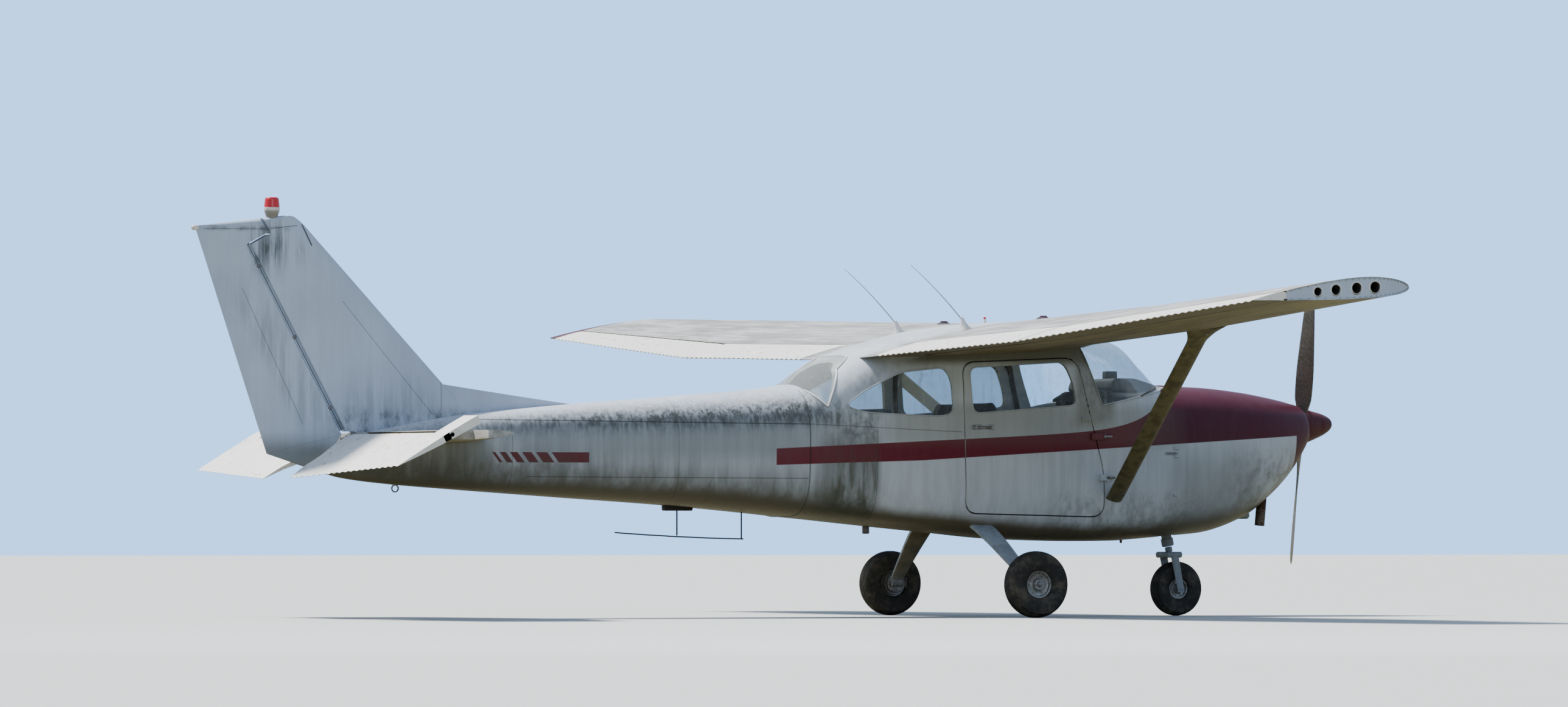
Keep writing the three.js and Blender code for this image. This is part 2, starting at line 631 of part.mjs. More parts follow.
const wings = {};
SIDES.forEach(([name, side]) => {
  let wing = buildWing(side);
  const forward = vec(1, 0, 0);
  let flap = buildPanelBetween(FLAP_SPAN, side, 2, FLAP_TRAVEL);
  let aileron = buildPanelBetween(AILERON_SPAN, side, AILERON_TRAVEL, AILERON_TRAVEL);
  [wing, flap] = hang(wing, flap, wingHingeLine(FLAP_SPAN, side), forward, 6, [0.12, 0.5, 0.88]);
  [wing, aileron] = hang(wing, aileron, wingHingeLine(AILERON_SPAN, side), forward, 6, [0.1, 0.5, 0.9]);
  if (side < 0) wing = holeTipRib(wing, side);
  wings[name] = wing;
  addNode(`wing_${name}`, wing, PAINT.white);
  addNode(`flap_${name}`, flap, PAINT.white);
  addNode(`aileron_${name}`, aileron, PAINT.white);
});

// The port tip cap is still there; the starboard one is gone and its rib is bare
const CAP = [
  [HALF_SPAN_RIB + SEAT, -990, 2022, -2045, 1930, 0.122],
  [HALF_SPAN_RIB + 120, -1040, 2024, -2030, 1938, 0.108],
  [HALF_SPAN_CAP - 40, -1150, 2024, -1975, 1951, 0.08],
  [HALF_SPAN_CAP, -1290, 2014, -1890, 1962, 0.05],
];
addNode("wing_tip_left", loft(CAP.map(([out]) => wholeRing(sectionAt(CAP, out, 1, WING_CAMBER)))),
  PAINT.maroon);

// Wing struts: share of the way up, chord, thickness
const STRUT = [[0, 112, 58], [0.06, 124, 52], [0.9, 128, 52], [0.955, 190, 76], [1, 320, 112]];
const STRUT_FOOT = vec(-543, 470, 745);
const STRUT_HEAD = vec(-955, 2575, 1866);

function buildStrut(name, side) {
  const foot = vec(STRUT_FOOT.x, side * STRUT_FOOT.y, STRUT_FOOT.z);
  const head = vec(STRUT_HEAD.x, side * STRUT_HEAD.y, STRUT_HEAD.z);
  const along = head.clone().sub(foot).normalize();
  const ahead = vec(1, 0, 0).projectOnPlane(along).normalize();
  const across = vec(0, 0, 0).crossVectors(along, ahead);
  const rings = STRUT.map(([share, chord, thick]) => Array.from({ length: 16 }, (_, i) => {
    const angle = (i / 16) * 2 * Math.PI;
    return foot.clone().lerp(head, share)
      .addScaledVector(ahead, (Math.cos(angle) * chord) / 2)
      .addScaledVector(across, (Math.sin(angle) * thick) / 2);
  }));
  return loft(rings).subtract(cabinGrown).subtract(wings[name].translate([0, 0, -SEAT]))
    .subtract(box(-2000, 0, side * 2000, side * 3000, 1800, 2200));
}
SIDES.forEach(([name, side]) => addNode(`strut_${name}`, buildStrut(name, side), PAINT.grey));

// Upright tail: one smooth form, parted into fin and rudder along the hinge line
const hingeWay = RUDDER_HINGE[1].clone().sub(RUDDER_HINGE[0]).normalize();
const hingeAhead = vec(hingeWay.z, 0, -hingeWay.x);
const fromHinge = (height, ahead, base = RUDDER_HINGE[1]) => {
  const p = base.clone().addScaledVector(hingeWay, height).addScaledVector(hingeAhead, ahead);
  return [p.x, p.z];
};
const TOP_LINE = { x: -6130, z: 2562, slope: 0.124 };
const topAt = (x) => [x, TOP_LINE.z + (x - TOP_LINE.x) * TOP_LINE.slope];
const HORN = 150;
const tailTop = [[-6352, topAt(-6352)[1]], [-6783, 2481]];

function uprightSection([z, nose, tail, thickness]) {
  const chord = nose - tail;
  const side = (share, face) => vec(nose - share * chord, face * foil(share, thickness, 0).half * chord, z);
  const shares = [1, 0.8, ...NOSE_SHARES];
  return [
    ...shares.map((share) => side(share, 1)),
    vec(nose, 0, z),
    ...[...shares].reverse().map((share) => side(share, -1)),
  ];
}

function buildUprightTail() {
  const whole = loft(UPRIGHT_TAIL.map(uprightSection));
  const finOutline = [[-4500, 1100], topAt(-4500), topAt(-6338), fromHinge(-12, HORN + 14),
    fromHinge(-12, 13), fromHinge(-1460, 13)];
  const dorsal = loft([
    [vec(-4133, 8, 1250), vec(-4133, -8, 1250), vec(-4133, -3, 1368), vec(-4133, 3, 1368)],
    [vec(-5200, 42, 1150), vec(-5200, -42, 1150), vec(-5200, -6, 1510), vec(-5200, 6, 1510)],
  ]);
  const [low, high] = RUDDER_HINGE;
  let fin = whole.intersect(sidePrism(finOutline, -200, 200)).add(dorsal)
    .subtract(bodySolid(CABIN_END, -5950, SEAT))
    .subtract(tubeNotch)
    .subtract(bar(low.clone().addScaledVector(hingeWay, -60), high, 25, 16));
  const swing = (half) => RUN / Math.cos(RUDDER_SWING * DEG) + half * Math.tan(RUDDER_SWING * DEG);
  const rudderOutline = [fromHinge(0, -swing(42), low), fromHinge(-12, -swing(30)),
    fromHinge(0, -RUN), fromHinge(0, HORN),
    tailTop[0], tailTop[1], [-6297, 1046], [-6041, 965], [-5936, 942], [-5797, 1172]];
  let rudder = whole.intersect(sidePrism(rudderOutline, -200, 200)).add(bar(low, high, 19, 16));
  [fin, rudder] = hang(fin, rudder, RUDDER_HINGE, hingeAhead, 6, [0.12, 0.5, 0.88]);
  const lamp = vec(-6772, 0, 2470);
  rudder = rudder.add(bar(lamp, lamp.clone().add(vec(-34, 0, -3)), 17, 16, 13));
  return [fin, rudder];
}
const [fin, rudder] = buildUprightTail();
addNode("fin", fin, PAINT.white);
addNode("rudder", rudder, PAINT.white);

// Beacon on the fin: a white foot and a red lens
const BEACON = vec(-6262, 0, topAt(-6262)[1] + SEAT);
const beaconProfile = [[0, -20], [30, -20], [50, 40], [50, 56], [44, 58], [42, 112], [34, 122], [0, 124]];
const beacon = solidOf(new THREE.LatheGeometry(
  beaconProfile.map(([r, h]) => new THREE.Vector2(r, h)),
  20,
).rotateX(90 * DEG));
addNode("beacon", beacon.translate(BEACON.toArray())
  .subtract(fin.translate([0, 0, SEAT])), PAINT.red);

// Tailplane halves, cut where they meet the cone
function tailSection(out, side) {
  return sectionAt(TAILPLANE, out, side, 0);
}

function elevatorShare(section) {
  return (section.place(0, 0).x - ELEVATOR_HINGE.x) / section.chord;
}

function buildTailplane(side) {
  const stations = [62, 1727];
  const half = loft(stations.map((out) => {
    const section = tailSection(out, side);
    return fixedRing(section, elevatorShare(section));
  }));
  const notch = box(-5900, ELEVATOR_HINGE.x + HORN_AHEAD + 14, side * (HORN_FROM - 14), side * 1800, 1000, 1300);
  return half.subtract(notch).subtract(coneGrown).subtract(tubeNotch);
}

function buildElevator(side) {
  const stations = [96, 1727];
  let panel = loft(stations.map((out) => {
    const section = tailSection(out, side);
    return movingRing(section, elevatorShare(section), 26, 26);
  }));
  const cutaway = loft([1000, 1300].map((z) => [
    vec(-5700, side * -50, z), vec(-5700, side * 96, z), vec(-5790, side * 96, z),
    vec(-6380, side * 250, z), vec(-6380, side * -50, z),
  ]));
  panel = panel.subtract(cutaway);
  const horn = loft([HORN_FROM, 1727].map((out) => wholeRing(tailSection(out, side))))
    .intersect(box(ELEVATOR_HINGE.x - 60, ELEVATOR_HINGE.x + HORN_AHEAD, side * 1000, side * 1800, 1000, 1300));
  return panel.add(horn);
}

const TUBE_RADIUS = 17;
const elevatorAxis = (y) => vec(ELEVATOR_HINGE.x, y, ELEVATOR_HINGE.z);

function atRest(solid) {
  return solid.translate([-ELEVATOR_HINGE.x, 0, -ELEVATOR_HINGE.z])
    .rotate([0, ELEVATOR_REST / DEG, 0])
    .translate([ELEVATOR_HINGE.x, 0, ELEVATOR_HINGE.z]);
}
SIDES.forEach(([name, side]) => {
  let [plane, panel] = [buildTailplane(side), buildElevator(side)];
  const line = [elevatorAxis(side * 120), elevatorAxis(side * (HORN_FROM - 10))];
  [plane, panel] = hang(plane, panel, line, vec(1, 0, 0), 4, [0.1, 0.55, 0.96]);
  const tube = bar(elevatorAxis(side * 104), elevatorAxis((side * SEAT) / 2), TUBE_RADIUS, 20);
  addNode(`tailplane_${name}`, plane, PAINT.white);
  addNode(`elevator_${name}`, atRest(panel.add(tube)), PAINT.white);
});

// Main gear: flat spring legs, as out, station, height, width and thickness, with a stub axle
const LEG = [[330, -1496, 640, 158, 32], [520, -1468, 545, 148, 30], [760, -1438, 396, 118, 26],
  [960, -1415, 258, 92, 22], [1000, -1411, 222, 88, 20]];

function buildLeg(side) {
  const rings = LEG.map(([out, x, z, wide, thick]) => {
    const [up, outward] = [0.84, 0.54];
    return [[-1, -1], [1, -1], [1, 1], [-1, 1]].map(([w, t]) => vec(
      x + (w * wide) / 2,
      side * (out + (t * thick * outward) / 2),
      z + (t * thick * up) / 2,
    ));
  });
  const { x, y, radius, bore } = MAIN_WHEEL;
  const axle = bar(vec(x, side * 975, radius), vec(x, side * (y + 62), radius), bore - SEAT, 24);
  return loft(rings).add(axle).subtract(cabinGrown);
}
SIDES.forEach(([name, side]) => addNode(`gear_leg_${name}`, buildLeg(side), PAINT.grey));

// Wheels: the tyre and its rim are two turned pieces
function buildTyre({ x, y, radius, width, bead }, side) {
  const half = width / 2;
  const profile = [[bead, -half * 0.62], [bead * 1.2, -half * 0.88], [mix(bead, radius, 0.55), -half],
    [radius * 0.95, -half * 0.8], [radius, -half * 0.3], [radius, half * 0.3],
    [radius * 0.95, half * 0.8], [mix(bead, radius, 0.55), half], [bead * 1.2, half * 0.88],
    [bead, half * 0.62]];
  return turned(profile, vec(x, side * y, radius), 24);
}

function buildRim({ x, y, radius, width, bead, bore }, side, hubHalf) {
  const half = width / 2;
  const edge = bead - SEAT;
  const profile = [[bore + 0.5, -hubHalf], [bore + 16, -hubHalf], [bore + 20, -half * 0.3],
    [edge - 14, -half * 0.3], [edge - 12, -half * 0.62], [edge, -half * 0.62], [edge, half * 0.62],
    [edge - 12, half * 0.62], [edge - 14, half * 0.3], [bore + 20, half * 0.3], [bore + 16, hubHalf],
    [bore + 0.5, hubHalf]];
  return turned(profile, vec(x, side * y, radius), 24);
}
SIDES.forEach(([name, side]) => {
  addNode(`main_tyre_${name}`, buildTyre(MAIN_WHEEL, side), PAINT.rubber);
  addNode(`main_rim_${name}`, buildRim(MAIN_WHEEL, side, 56), PAINT.grey);
});
addNode("nose_tyre", buildTyre(NOSE_WHEEL, 1), PAINT.rubber);
addNode("nose_rim", buildRim(NOSE_WHEEL, 1, 48), PAINT.grey);

// Nose leg: the upper tube on the firewall, and the fork that steers under it
const LEG_SPLIT = 455;
function buildUpperLeg() {
  const bracket = box(SEAT, 90, -45, 45, 690, 860);
  return bar(noseLegAt(820), noseLegAt(LEG_SPLIT), 34, 20).add(bracket);
}

function buildFork() {
  const { x, radius, width, bore } = NOSE_WHEEL;
  const crownTop = 424;
  const inside = width / 2 + 12;
  let fork = bar(noseLegAt(LEG_SPLIT - SEAT), noseLegAt(crownTop - 20), 25, 20)
    .add(box(62, 178, -inside - 14, inside + 14, crownTop - 40, crownTop));
  SIDES.forEach(([, side]) => {
    const [from, to] = [[82, 400], [x, radius]];
    const arm = loft([from, to].map(([ax, az], i) => {
      const half = i ? 24 : 30;
      return [[-half, inside], [half, inside], [half, inside + 13], [-half, inside + 13]]
        .map(([dx, y]) => vec((i ? ax : 120) + dx, side * y, az - (i ? 24 : 0)));
    }));
    fork = fork.add(arm);
  });
  return fork.add(bar(vec(x, -inside - 14, radius), vec(x, inside + 14, radius), bore - SEAT, 20));
}
addNode("nose_leg", buildUpperLeg(), PAINT.grey);
addNode("nose_fork", buildFork(), PAINT.grey);

// Propeller: radius, chord, thickness and pitch from the plane it turns in
const BLADE = [[0, 80, 50, 44], [110, 84, 46, 42], [200, 122, 36, 38], [380, 134, 25, 30],
  [620, 118, 16, 22], [850, 88, 10, 17], [940, 66, 7, 15.5], [PROP_RADIUS, 36, 5, 15]];
const discUp = vec(-Math.sin(NOSE_UP), 0, Math.cos(NOSE_UP));
const bladeWay = (turn) => discUp.clone().multiplyScalar(Math.cos(turn))
  .add(vec(0, -Math.sin(turn), 0));

function buildBlade(turn) {
  const out = bladeWay(turn);
  const leading = vec(0, 0, 0).crossVectors(propAxis, out).normalize();
  return loft(BLADE.map(([radius, chord, thick, pitch]) => {
    const lean = pitch * DEG;
    const across = leading.clone().multiplyScalar(Math.cos(lean)).addScaledVector(propAxis, Math.sin(lean));
    const through = propAxis.clone().multiplyScalar(Math.cos(lean)).addScaledVector(leading, -Math.sin(lean));
    return Array.from({ length: 12 }, (_, i) => {
      const angle = (i / 12) * 2 * Math.PI;
      return HUB.clone().addScaledVector(out, radius)
        .addScaledVector(across, (Math.cos(angle) * chord) / 2)
        .addScaledVector(through, (Math.sin(angle) * thick) / 2);
    });
  }));
}

const HUB_RADIUS = 62;

function buildPropeller() {
  return buildBlade(PROP_TURN).add(buildBlade(PROP_TURN + Math.PI))
    .add(bar(onPropAxis(HUB_BACK), onPropAxis(48), HUB_RADIUS, 24));
}

// Spinner: distance along the shaft and radius, hollowed for the hub and slotted for the blades
const SPINNER = [[-35, 0], [-35, 125], [0, 119], [46, 107], [98, 91], [145, 75], [182, 58],
  [208, 41], [224, 22], [230, 0]];

function buildSpinner() {
  const geometry = new THREE.LatheGeometry(SPINNER.map(([s, r]) => new THREE.Vector2(r, s)), 28);
  const turn = new THREE.Quaternion().setFromUnitVectors(vec(0, 1, 0), propAxis);
  geometry.applyQuaternion(turn).translate(...HUB.toArray());
  const slot = new THREE.BoxGeometry(104, 98, 400);
  const basis = new THREE.Matrix4().makeBasis(
    propAxis,
    vec(0, 0, 0).crossVectors(bladeWay(PROP_TURN), propAxis).normalize(),
    bladeWay(PROP_TURN),
  );
  slot.applyMatrix4(basis).translate(...HUB.toArray());
  return solidOf(geometry)
    .subtract(bar(onPropAxis(-60), onPropAxis(48 + SEAT), HUB_RADIUS + SEAT, 24))
    .subtract(solidOf(slot));
}
addNode("propeller", buildPropeller(), PAINT.steel);
addNode("spinner", buildSpinner(), PAINT.maroon);

// Exhaust pipe under the cowling, to starboard
addNode("exhaust_pipe", bar(EXHAUST.to, EXHAUST.from, EXHAUST.radius, 20)
  .subtract(bar(EXHAUST.to.clone().add(vec(-1, 0, -10)), EXHAUST.to.clone().add(vec(9, 0, 82)), 28, 20))
  .intersect(box(500, 900, -400, 0, 500, ENGINE_UNDER - SEAT)), PAINT.steel);

// Aerials: two whips on the roof and a rod frame under the tail
const WHIP = { foot: vec(-1622, 500, 1850), cone: vec(-1650, 500, 1938), tip: vec(-2022, 500, 2285) };
SIDES.forEach(([name, side]) => {
  const at = (p) => vec(p.x, side * p.y, p.z);
  const whip = bar(at(WHIP.foot), at(WHIP.cone), 34, 14, 9)
    .add(bar(at(WHIP.cone).addScaledVector(vec(38, 0, -35), 0.3), at(WHIP.tip), 5, 8, 2.5));
  addNode(`antenna_${name}`, whip.subtract(cabinGrown)
    .subtract(wings[name].translate([0, 0, SEAT])), PAINT.white);
});

const RODS = [[vec(-3456, 0, 700), vec(-3456, 0, 529)], [vec(-2998, 0, 690), vec(-2998, 0, 508)],
  [vec(-3893, 0, 549), vec(-2985, 0, 508)]];
const rodFrame = RODS.reduce(
  (solid, [p, q]) => solid.add(bar(p, q, 6, 8)),
  box(-3555, -3352, -32, 32, 680, 760),
);
addNode("belly_antenna", rodFrame.subtract(coneGrown), PAINT.dark);

// The model stands over the middle of its outer box
const BOX_MIDDLE = { x: (onPropAxis(230).x - 6806) / 2, y: (HALF_SPAN_CAP - HALF_SPAN_RIB) / 2 };
model.position.set(-BOX_MIDDLE.x, -BOX_MIDDLE.y, 0);
model.updateMatrixWorld(true);

export default model;
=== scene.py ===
"""Looks of a parked, weathered high-wing light aircraft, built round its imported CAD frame.

Metres. Shapes are worked out by station: x is counted forward from the firewall, y to port
from the middle, and z up from the floor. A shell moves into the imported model's frame when it
becomes an object.
"""

import logging
import math
from dataclasses import dataclass
from enum import Enum
from functools import reduce
from typing import Sequence, Union

import bpy
import numpy as np
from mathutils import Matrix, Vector


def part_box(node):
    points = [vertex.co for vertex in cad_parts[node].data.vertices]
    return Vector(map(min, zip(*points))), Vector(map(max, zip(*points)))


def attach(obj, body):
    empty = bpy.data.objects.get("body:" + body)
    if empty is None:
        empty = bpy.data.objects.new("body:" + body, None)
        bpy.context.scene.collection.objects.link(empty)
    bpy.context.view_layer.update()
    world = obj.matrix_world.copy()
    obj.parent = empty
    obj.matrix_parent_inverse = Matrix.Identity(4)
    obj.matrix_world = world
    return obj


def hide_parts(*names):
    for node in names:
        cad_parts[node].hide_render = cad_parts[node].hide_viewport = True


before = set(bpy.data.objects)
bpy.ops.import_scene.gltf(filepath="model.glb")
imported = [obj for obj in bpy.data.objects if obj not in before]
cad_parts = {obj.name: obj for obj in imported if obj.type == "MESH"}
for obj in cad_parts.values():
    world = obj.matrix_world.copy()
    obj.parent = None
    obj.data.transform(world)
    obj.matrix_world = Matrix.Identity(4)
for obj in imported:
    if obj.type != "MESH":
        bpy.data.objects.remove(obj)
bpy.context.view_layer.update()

LOG = logging.getLogger("aircraft")
Array = np.ndarray
Colour = tuple[float, float, float]
Point = Sequence[float]
Socket = bpy.types.NodeSocket
Thing = bpy.types.Object
Material = bpy.types.Material
MM = 0.001
SIDES = (("left", 1.0), ("right", -1.0))
NOSE_UP = math.radians(4.5)


def station_shift() -> Array:
    """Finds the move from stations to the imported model's frame.

    Returns:
        The place of station 0: the firewall's front face, in the middle of its width.
    """
    low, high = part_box("firewall")
    return np.array([high.x, (low.y + high.y) / 2, 0.0])


SHIFT = station_shift()

# Body sections: station, bottom, top, half width, height of the widest line, and how square
# the upper and lower halves are (2 is an ellipse)
BODY = np.array([
    [1060, 1100, 1385, 222, 1228, 2.2, 2.2],
    [1034, 1062, 1402, 252, 1224, 2.3, 2.3],
    [975, 972, 1416, 296, 1212, 2.4, 2.3],
    [896, 880, 1434, 342, 1200, 2.4, 2.4],
    [758, 762, 1459, 402, 1185, 2.5, 2.6],
    [574, 640, 1487, 450, 1170, 2.6, 2.8],
    [255, 545, 1515, 485, 1155, 2.8, 3.1],
    [0, 527, 1521, 500, 1150, 2.9, 3.6],
    [-60, 520, 1530, 505, 1150, 2.75, 3.7],
    [-130, 514, 1558, 508, 1150, 2.65, 3.8],
    [-250, 505, 1677, 515, 1150, 2.65, 4.0],
    [-400, 496, 1806, 525, 1150, 3.1, 4.3],
    [-620, 494, 1863, 535, 1150, 4.1, 4.8],
    [-900, 500, 1912, 538, 1150, 4.6, 5.0],
    [-1150, 510, 1930, 538, 1150, 4.6, 5.0],
    [-1600, 551, 1892, 535, 1150, 4.6, 5.0],
    [-2000, 587, 1808, 520, 1150, 4.0, 4.6],
    [-2330, 618, 1712, 500, 1140, 3.3, 4.2],
    [-2500, 634, 1628, 487, 1135, 3.0, 4.0],
    [-2680, 650, 1516, 472, 1130, 2.8, 3.8],
    [-2720, 654, 1505, 468, 1130, 2.7, 3.7],
    [-3500, 722, 1430, 372, 1120, 2.6, 3.3],
    [-4360, 778, 1362, 262, 1110, 2.5, 3.0],
    [-5050, 824, 1295, 172, 1090, 2.4, 2.7],
    [-5500, 858, 1225, 108, 1060, 2.3, 2.5],
    [-5800, 895, 1165, 66, 1035, 2.2, 2.3],
    [-5950, 935, 1110, 45, 1025, 2.1, 2.1],
]) * [MM, MM, MM, MM, MM, 1, 1]

# Side-view outlines of the openings, as station and height in millimetres
DOOR = [(-1655, 1652), (-1628, 678), (-626, 655), (-640, 950), (-745, 1337), (-832, 1690)]
DOOR_WINDOW = [(-1609, 1622), (-1587, 1324), (-830, 1382), (-857, 1530), (-918, 1664)]
SIDE_WINDOW = [(-2480, 1368), (-2320, 1478), (-2084, 1588), (-1782, 1622), (-1735, 1540),
               (-1722, 1322), (-1830, 1304), (-2340, 1325)]
WINDSHIELD = [(-648, 1382), (18, 1519), (120, 1540), (120, 2000), (-618, 2000), (-618, 1800),
              (-785, 1760)]
REAR_WINDOW = [(-2350, 1820), (-2347, 1690), (-2462, 1606), (-2592, 1357), (-2690, 1470),
               (-2706, 1560), (-2706, 1820)]
CABIN_END = -2.72
BODY_REACH = 0.7
SKIN_GAP = 0.0006
BEAD_PITCH = 0.078
BEAD_DEPTH = 0.0075


def unit(vectors: Array) -> Array:
    """Vectors of length one along the last axis."""
    return vectors / np.linalg.norm(vectors, axis=-1, keepdims=True)


def circle(count: int, start: float = 0.0) -> tuple[Array, Array]:
    """Cosines and sines of evenly spaced turns, starting so many steps on."""
    angle = (np.arange(count) + start) * 2 * math.pi / count
    return np.cos(angle), np.sin(angle)


def squared(c: Array, s: Array, power: Union[Array, float]) -> Array:
    """How far a squared circle reaches in a direction: (|c|^n + |s|^n)^(-1/n)."""
    return (np.abs(c) ** power + np.abs(s) ** power) ** (-1 / power)


def half_thickness(share: Array) -> Array:
    """Half an aerofoil's thickness, as shares of its chord: the usual four-digit formula."""
    return 5 * (0.2969 * np.sqrt(share) - 0.126 * share - 0.3516 * share ** 2
                + 0.2843 * share ** 3 - 0.1015 * share ** 4)


def dimmed(colour: Colour, share: float) -> Colour:
    """A colour with less or more light in it."""
    return tuple(c * share for c in colour)


def read_points(mesh: bpy.types.Mesh) -> Array:
    """A mesh's points, in stations."""
    flat = np.empty(len(mesh.vertices) * 3)
    mesh.vertices.foreach_get("co", flat)
    return flat.reshape(-1, 3) - SHIFT


def write_points(mesh: bpy.types.Mesh, points: Array) -> None:
    """Puts a mesh's points back."""
    mesh.vertices.foreach_set("co", (points + SHIFT).ravel())
    mesh.update()


def swung(points: Array, centre: Point, angle: float) -> Array:
    """Points turned about the line along y through a centre, tail down for angle < 0."""
    c, s = math.cos(angle), math.sin(angle)
    return (points - centre) @ np.array([[c, 0, -s], [0, 1, 0], [s, 0, c]]) + centre


def finished(piece: Thing) -> bpy.types.Mesh:
    """A new mesh of the piece as its modifiers leave it."""
    graph = bpy.context.evaluated_depsgraph_get()
    return bpy.data.meshes.new_from_object(piece.evaluated_get(graph))


def linked(name: str, data: bpy.types.ID) -> Thing:
    """A new object in the scene."""
    made = bpy.data.objects.new(name, data)
    bpy.context.scene.collection.objects.link(made)
    return made


def smooth_table(table: Array, at: Array) -> Array:
    """Reads a table between its rows: one cubic per gap, which never overshoots a row.

    Args:
        table: Rows whose first column is the place; the order doesn't matter.
        at: The places to read.

    Returns:
        One row for each place, with the table's other columns.
    """
    rows = table[np.argsort(table[:, 0])]
    xs, ys = rows[:, 0], rows[:, 1:]
    gap = np.diff(xs)[:, None]
    slope = np.diff(ys, axis=0) / gap
    tangent = np.empty_like(ys)
    tangent[0], tangent[-1] = slope[0], slope[-1]
    before, after = slope[:-1], slope[1:]
    rising = before * after > 0
    w1, w2 = 2 * gap[1:] + gap[:-1], gap[1:] + 2 * gap[:-1]
    safe_before, safe_after = np.where(rising, before, 1), np.where(rising, after, 1)
    tangent[1:-1] = np.where(rising, (w1 + w2) / (w1 / safe_before + w2 / safe_after), 0)
    i = np.clip(np.searchsorted(xs, at) - 1, 0, len(xs) - 2)
    h = gap[i]
    t = ((at - xs[i]) / h[:, 0])[:, None]
    return ((1 + 2 * t) * (1 - t) ** 2 * ys[i] + t * (1 - t) ** 2 * h * tangent[i]
            + t * t * (3 - 2 * t) * ys[i + 1] + t * t * (t - 1) * h * tangent[i + 1])


def straight_table(table: Array, at: Array) -> Array:
    """Reads every column of a table on straight lines between its rows."""
    rows = table[np.argsort(table[:, 0])]
    return np.stack([np.interp(at, rows[:, 0], column) for column in rows[:, 1:].T], -1)


class End(Enum):
    """How a loft closes: a flat face at each end, or the last ring joined to the first."""

    FLAT = "flat"
    JOINED = "joined"


class Cut(Enum):
    """What a cutter does to a piece."""

    OUT = "DIFFERENCE"
    KEEP = "INTERSECT"
    JOIN = "UNION"


@dataclass
class Shell:
    """A closed surface: points in stations, and blocks of faces with equal corner counts."""

    points: Array
    faces: list[Array]

    def __add__(self, other: "Shell") -> "Shell":
        """Both shells as one."""
        moved = [block + len(self.points) for block in other.faces]
        return Shell(np.vstack([self.points, other.points]), self.faces + moved)

    def volume(self) -> float:
        """Six times the enclosed volume: the sum of corner . (corner x corner) over faces."""
        total = 0.0
        for block in self.faces:
            corners = self.points[block]
            spokes = np.cross(corners[:, 1:-1], corners[:, 2:])
            total += float(np.einsum("ik,ijk->", corners[:, 0], spokes))
        return total

    def outward(self) -> "Shell":
        """The same shell with every face pointing outwards."""
        return self if self.volume() > 0 else Shell(self.points, [b[:, ::-1] for b in self.faces])

    def to_side(self, side: float) -> "Shell":
        """A shell built for port, mirrored when side is -1."""
        return Shell(self.points * [1, side, 1], self.faces).outward()

    def thing(self, name: str) -> Thing:
        """Makes the object, with its place in its mesh."""
        mesh = bpy.data.meshes.new(name)
        corners = [row for block in self.faces for row in block.tolist()]
        mesh.from_pydata((self.points + SHIFT).tolist(), [], corners)
        mesh.update()
        return linked(name, mesh)


def joined(shells: Sequence[Shell]) -> Shell:
    """Many shells as one."""
    return sum(shells[1:], shells[0])


def loft(rings: Array, end: End = End.FLAT) -> Shell:
    """A closed shell through rings of points.

    Args:
        rings: Points as ring, place round the ring, and x y z.
        end: Flat faces on the first and last ring, or the last ring joined to the first.

    Returns:
        The shell, pointing outwards.
    """
    count, round_it = rings.shape[:2]
    index = np.arange(count * round_it).reshape(count, round_it)
    a, b = (index, np.roll(index, -1, 0)) if end is End.JOINED else (index[:-1], index[1:])
    quads = np.stack([a, np.roll(a, -1, 1), np.roll(b, -1, 1), b], -1).reshape(-1, 4)
    caps = [] if end is End.JOINED else [index[:1, ::-1], index[-1:]]
    return Shell(rings.reshape(-1, 3), [quads, *caps]).outward()


def tube(path: Array, radius: Union[float, Array], sides: int = 12, end: End = End.FLAT,
         flat: float = 1.0, up: Point = (0.13, 0.21, 1.0)) -> Shell:
    """A round or flattened bar along a path: each ring stands square to the path.

    Args:
        path: The points of its middle line.
        radius: One radius, or one for each point.
        sides: Points round it.
        end: Closed flat, or joined into a loop.
        flat: Its thickness as a share of its width.
        up: A direction that the path never runs along.

    Returns:
        The shell.
    """
    path = np.asarray(path, float)
    if end is End.JOINED:
        way = np.roll(path, -1, 0) - np.roll(path, 1, 0)
    else:
        way = np.gradient(path, axis=0)
    way = unit(way)
    across = unit(np.cross(way, np.asarray(up, float)))
    over = np.cross(across, way)
    c, s = circle(sides)
    reach = np.broadcast_to(np.asarray(radius, float), (len(path),))[:, None, None]
    ring = across[:, None] * c[:, None] + over[:, None] * (s * flat)[:, None]
    return loft(path[:, None] + ring * reach, end)


def revolve(profile: Sequence[tuple[float, float]], origin: Point,
            axis: Point, sides: int = 48, end: End = End.FLAT) -> Shell:
    """A turned piece: every (along, radius) pair of the profile swept round the axis.

    Args:
        profile: Distances along the axis and radii, in metres.
        origin: The axis's zero point.
        axis: The axis's direction.
        sides: Points round it.
        end: JOINED for a closed profile, such as a tyre's.

    Returns:
        The shell.
    """
    rows = np.asarray(profile, float)
    way = unit(np.asarray(axis, float))
    across = unit(np.cross(way, [0.31, 0.17, 1.0] if abs(way[2]) < 0.9 else [1.0, 0.0, 0.0]))
    over = np.cross(way, across)
    c, s = circle(sides)
    spoke = across * c[:, None] + over * s[:, None]
    rings = (np.asarray(origin, float) + way * rows[:, :1, None]
             + spoke[None] * np.maximum(rows[:, 1], 2e-4)[:, None, None])
    return loft(rings, end)


def turned(rows: Sequence[tuple[float, float]], origin: Point, axis: Point, sides: int = 48,
           end: End = End.FLAT) -> Shell:
    """A turned piece whose profile is given in millimetres."""
    return revolve(np.array(rows) * MM, origin, axis, sides, end)


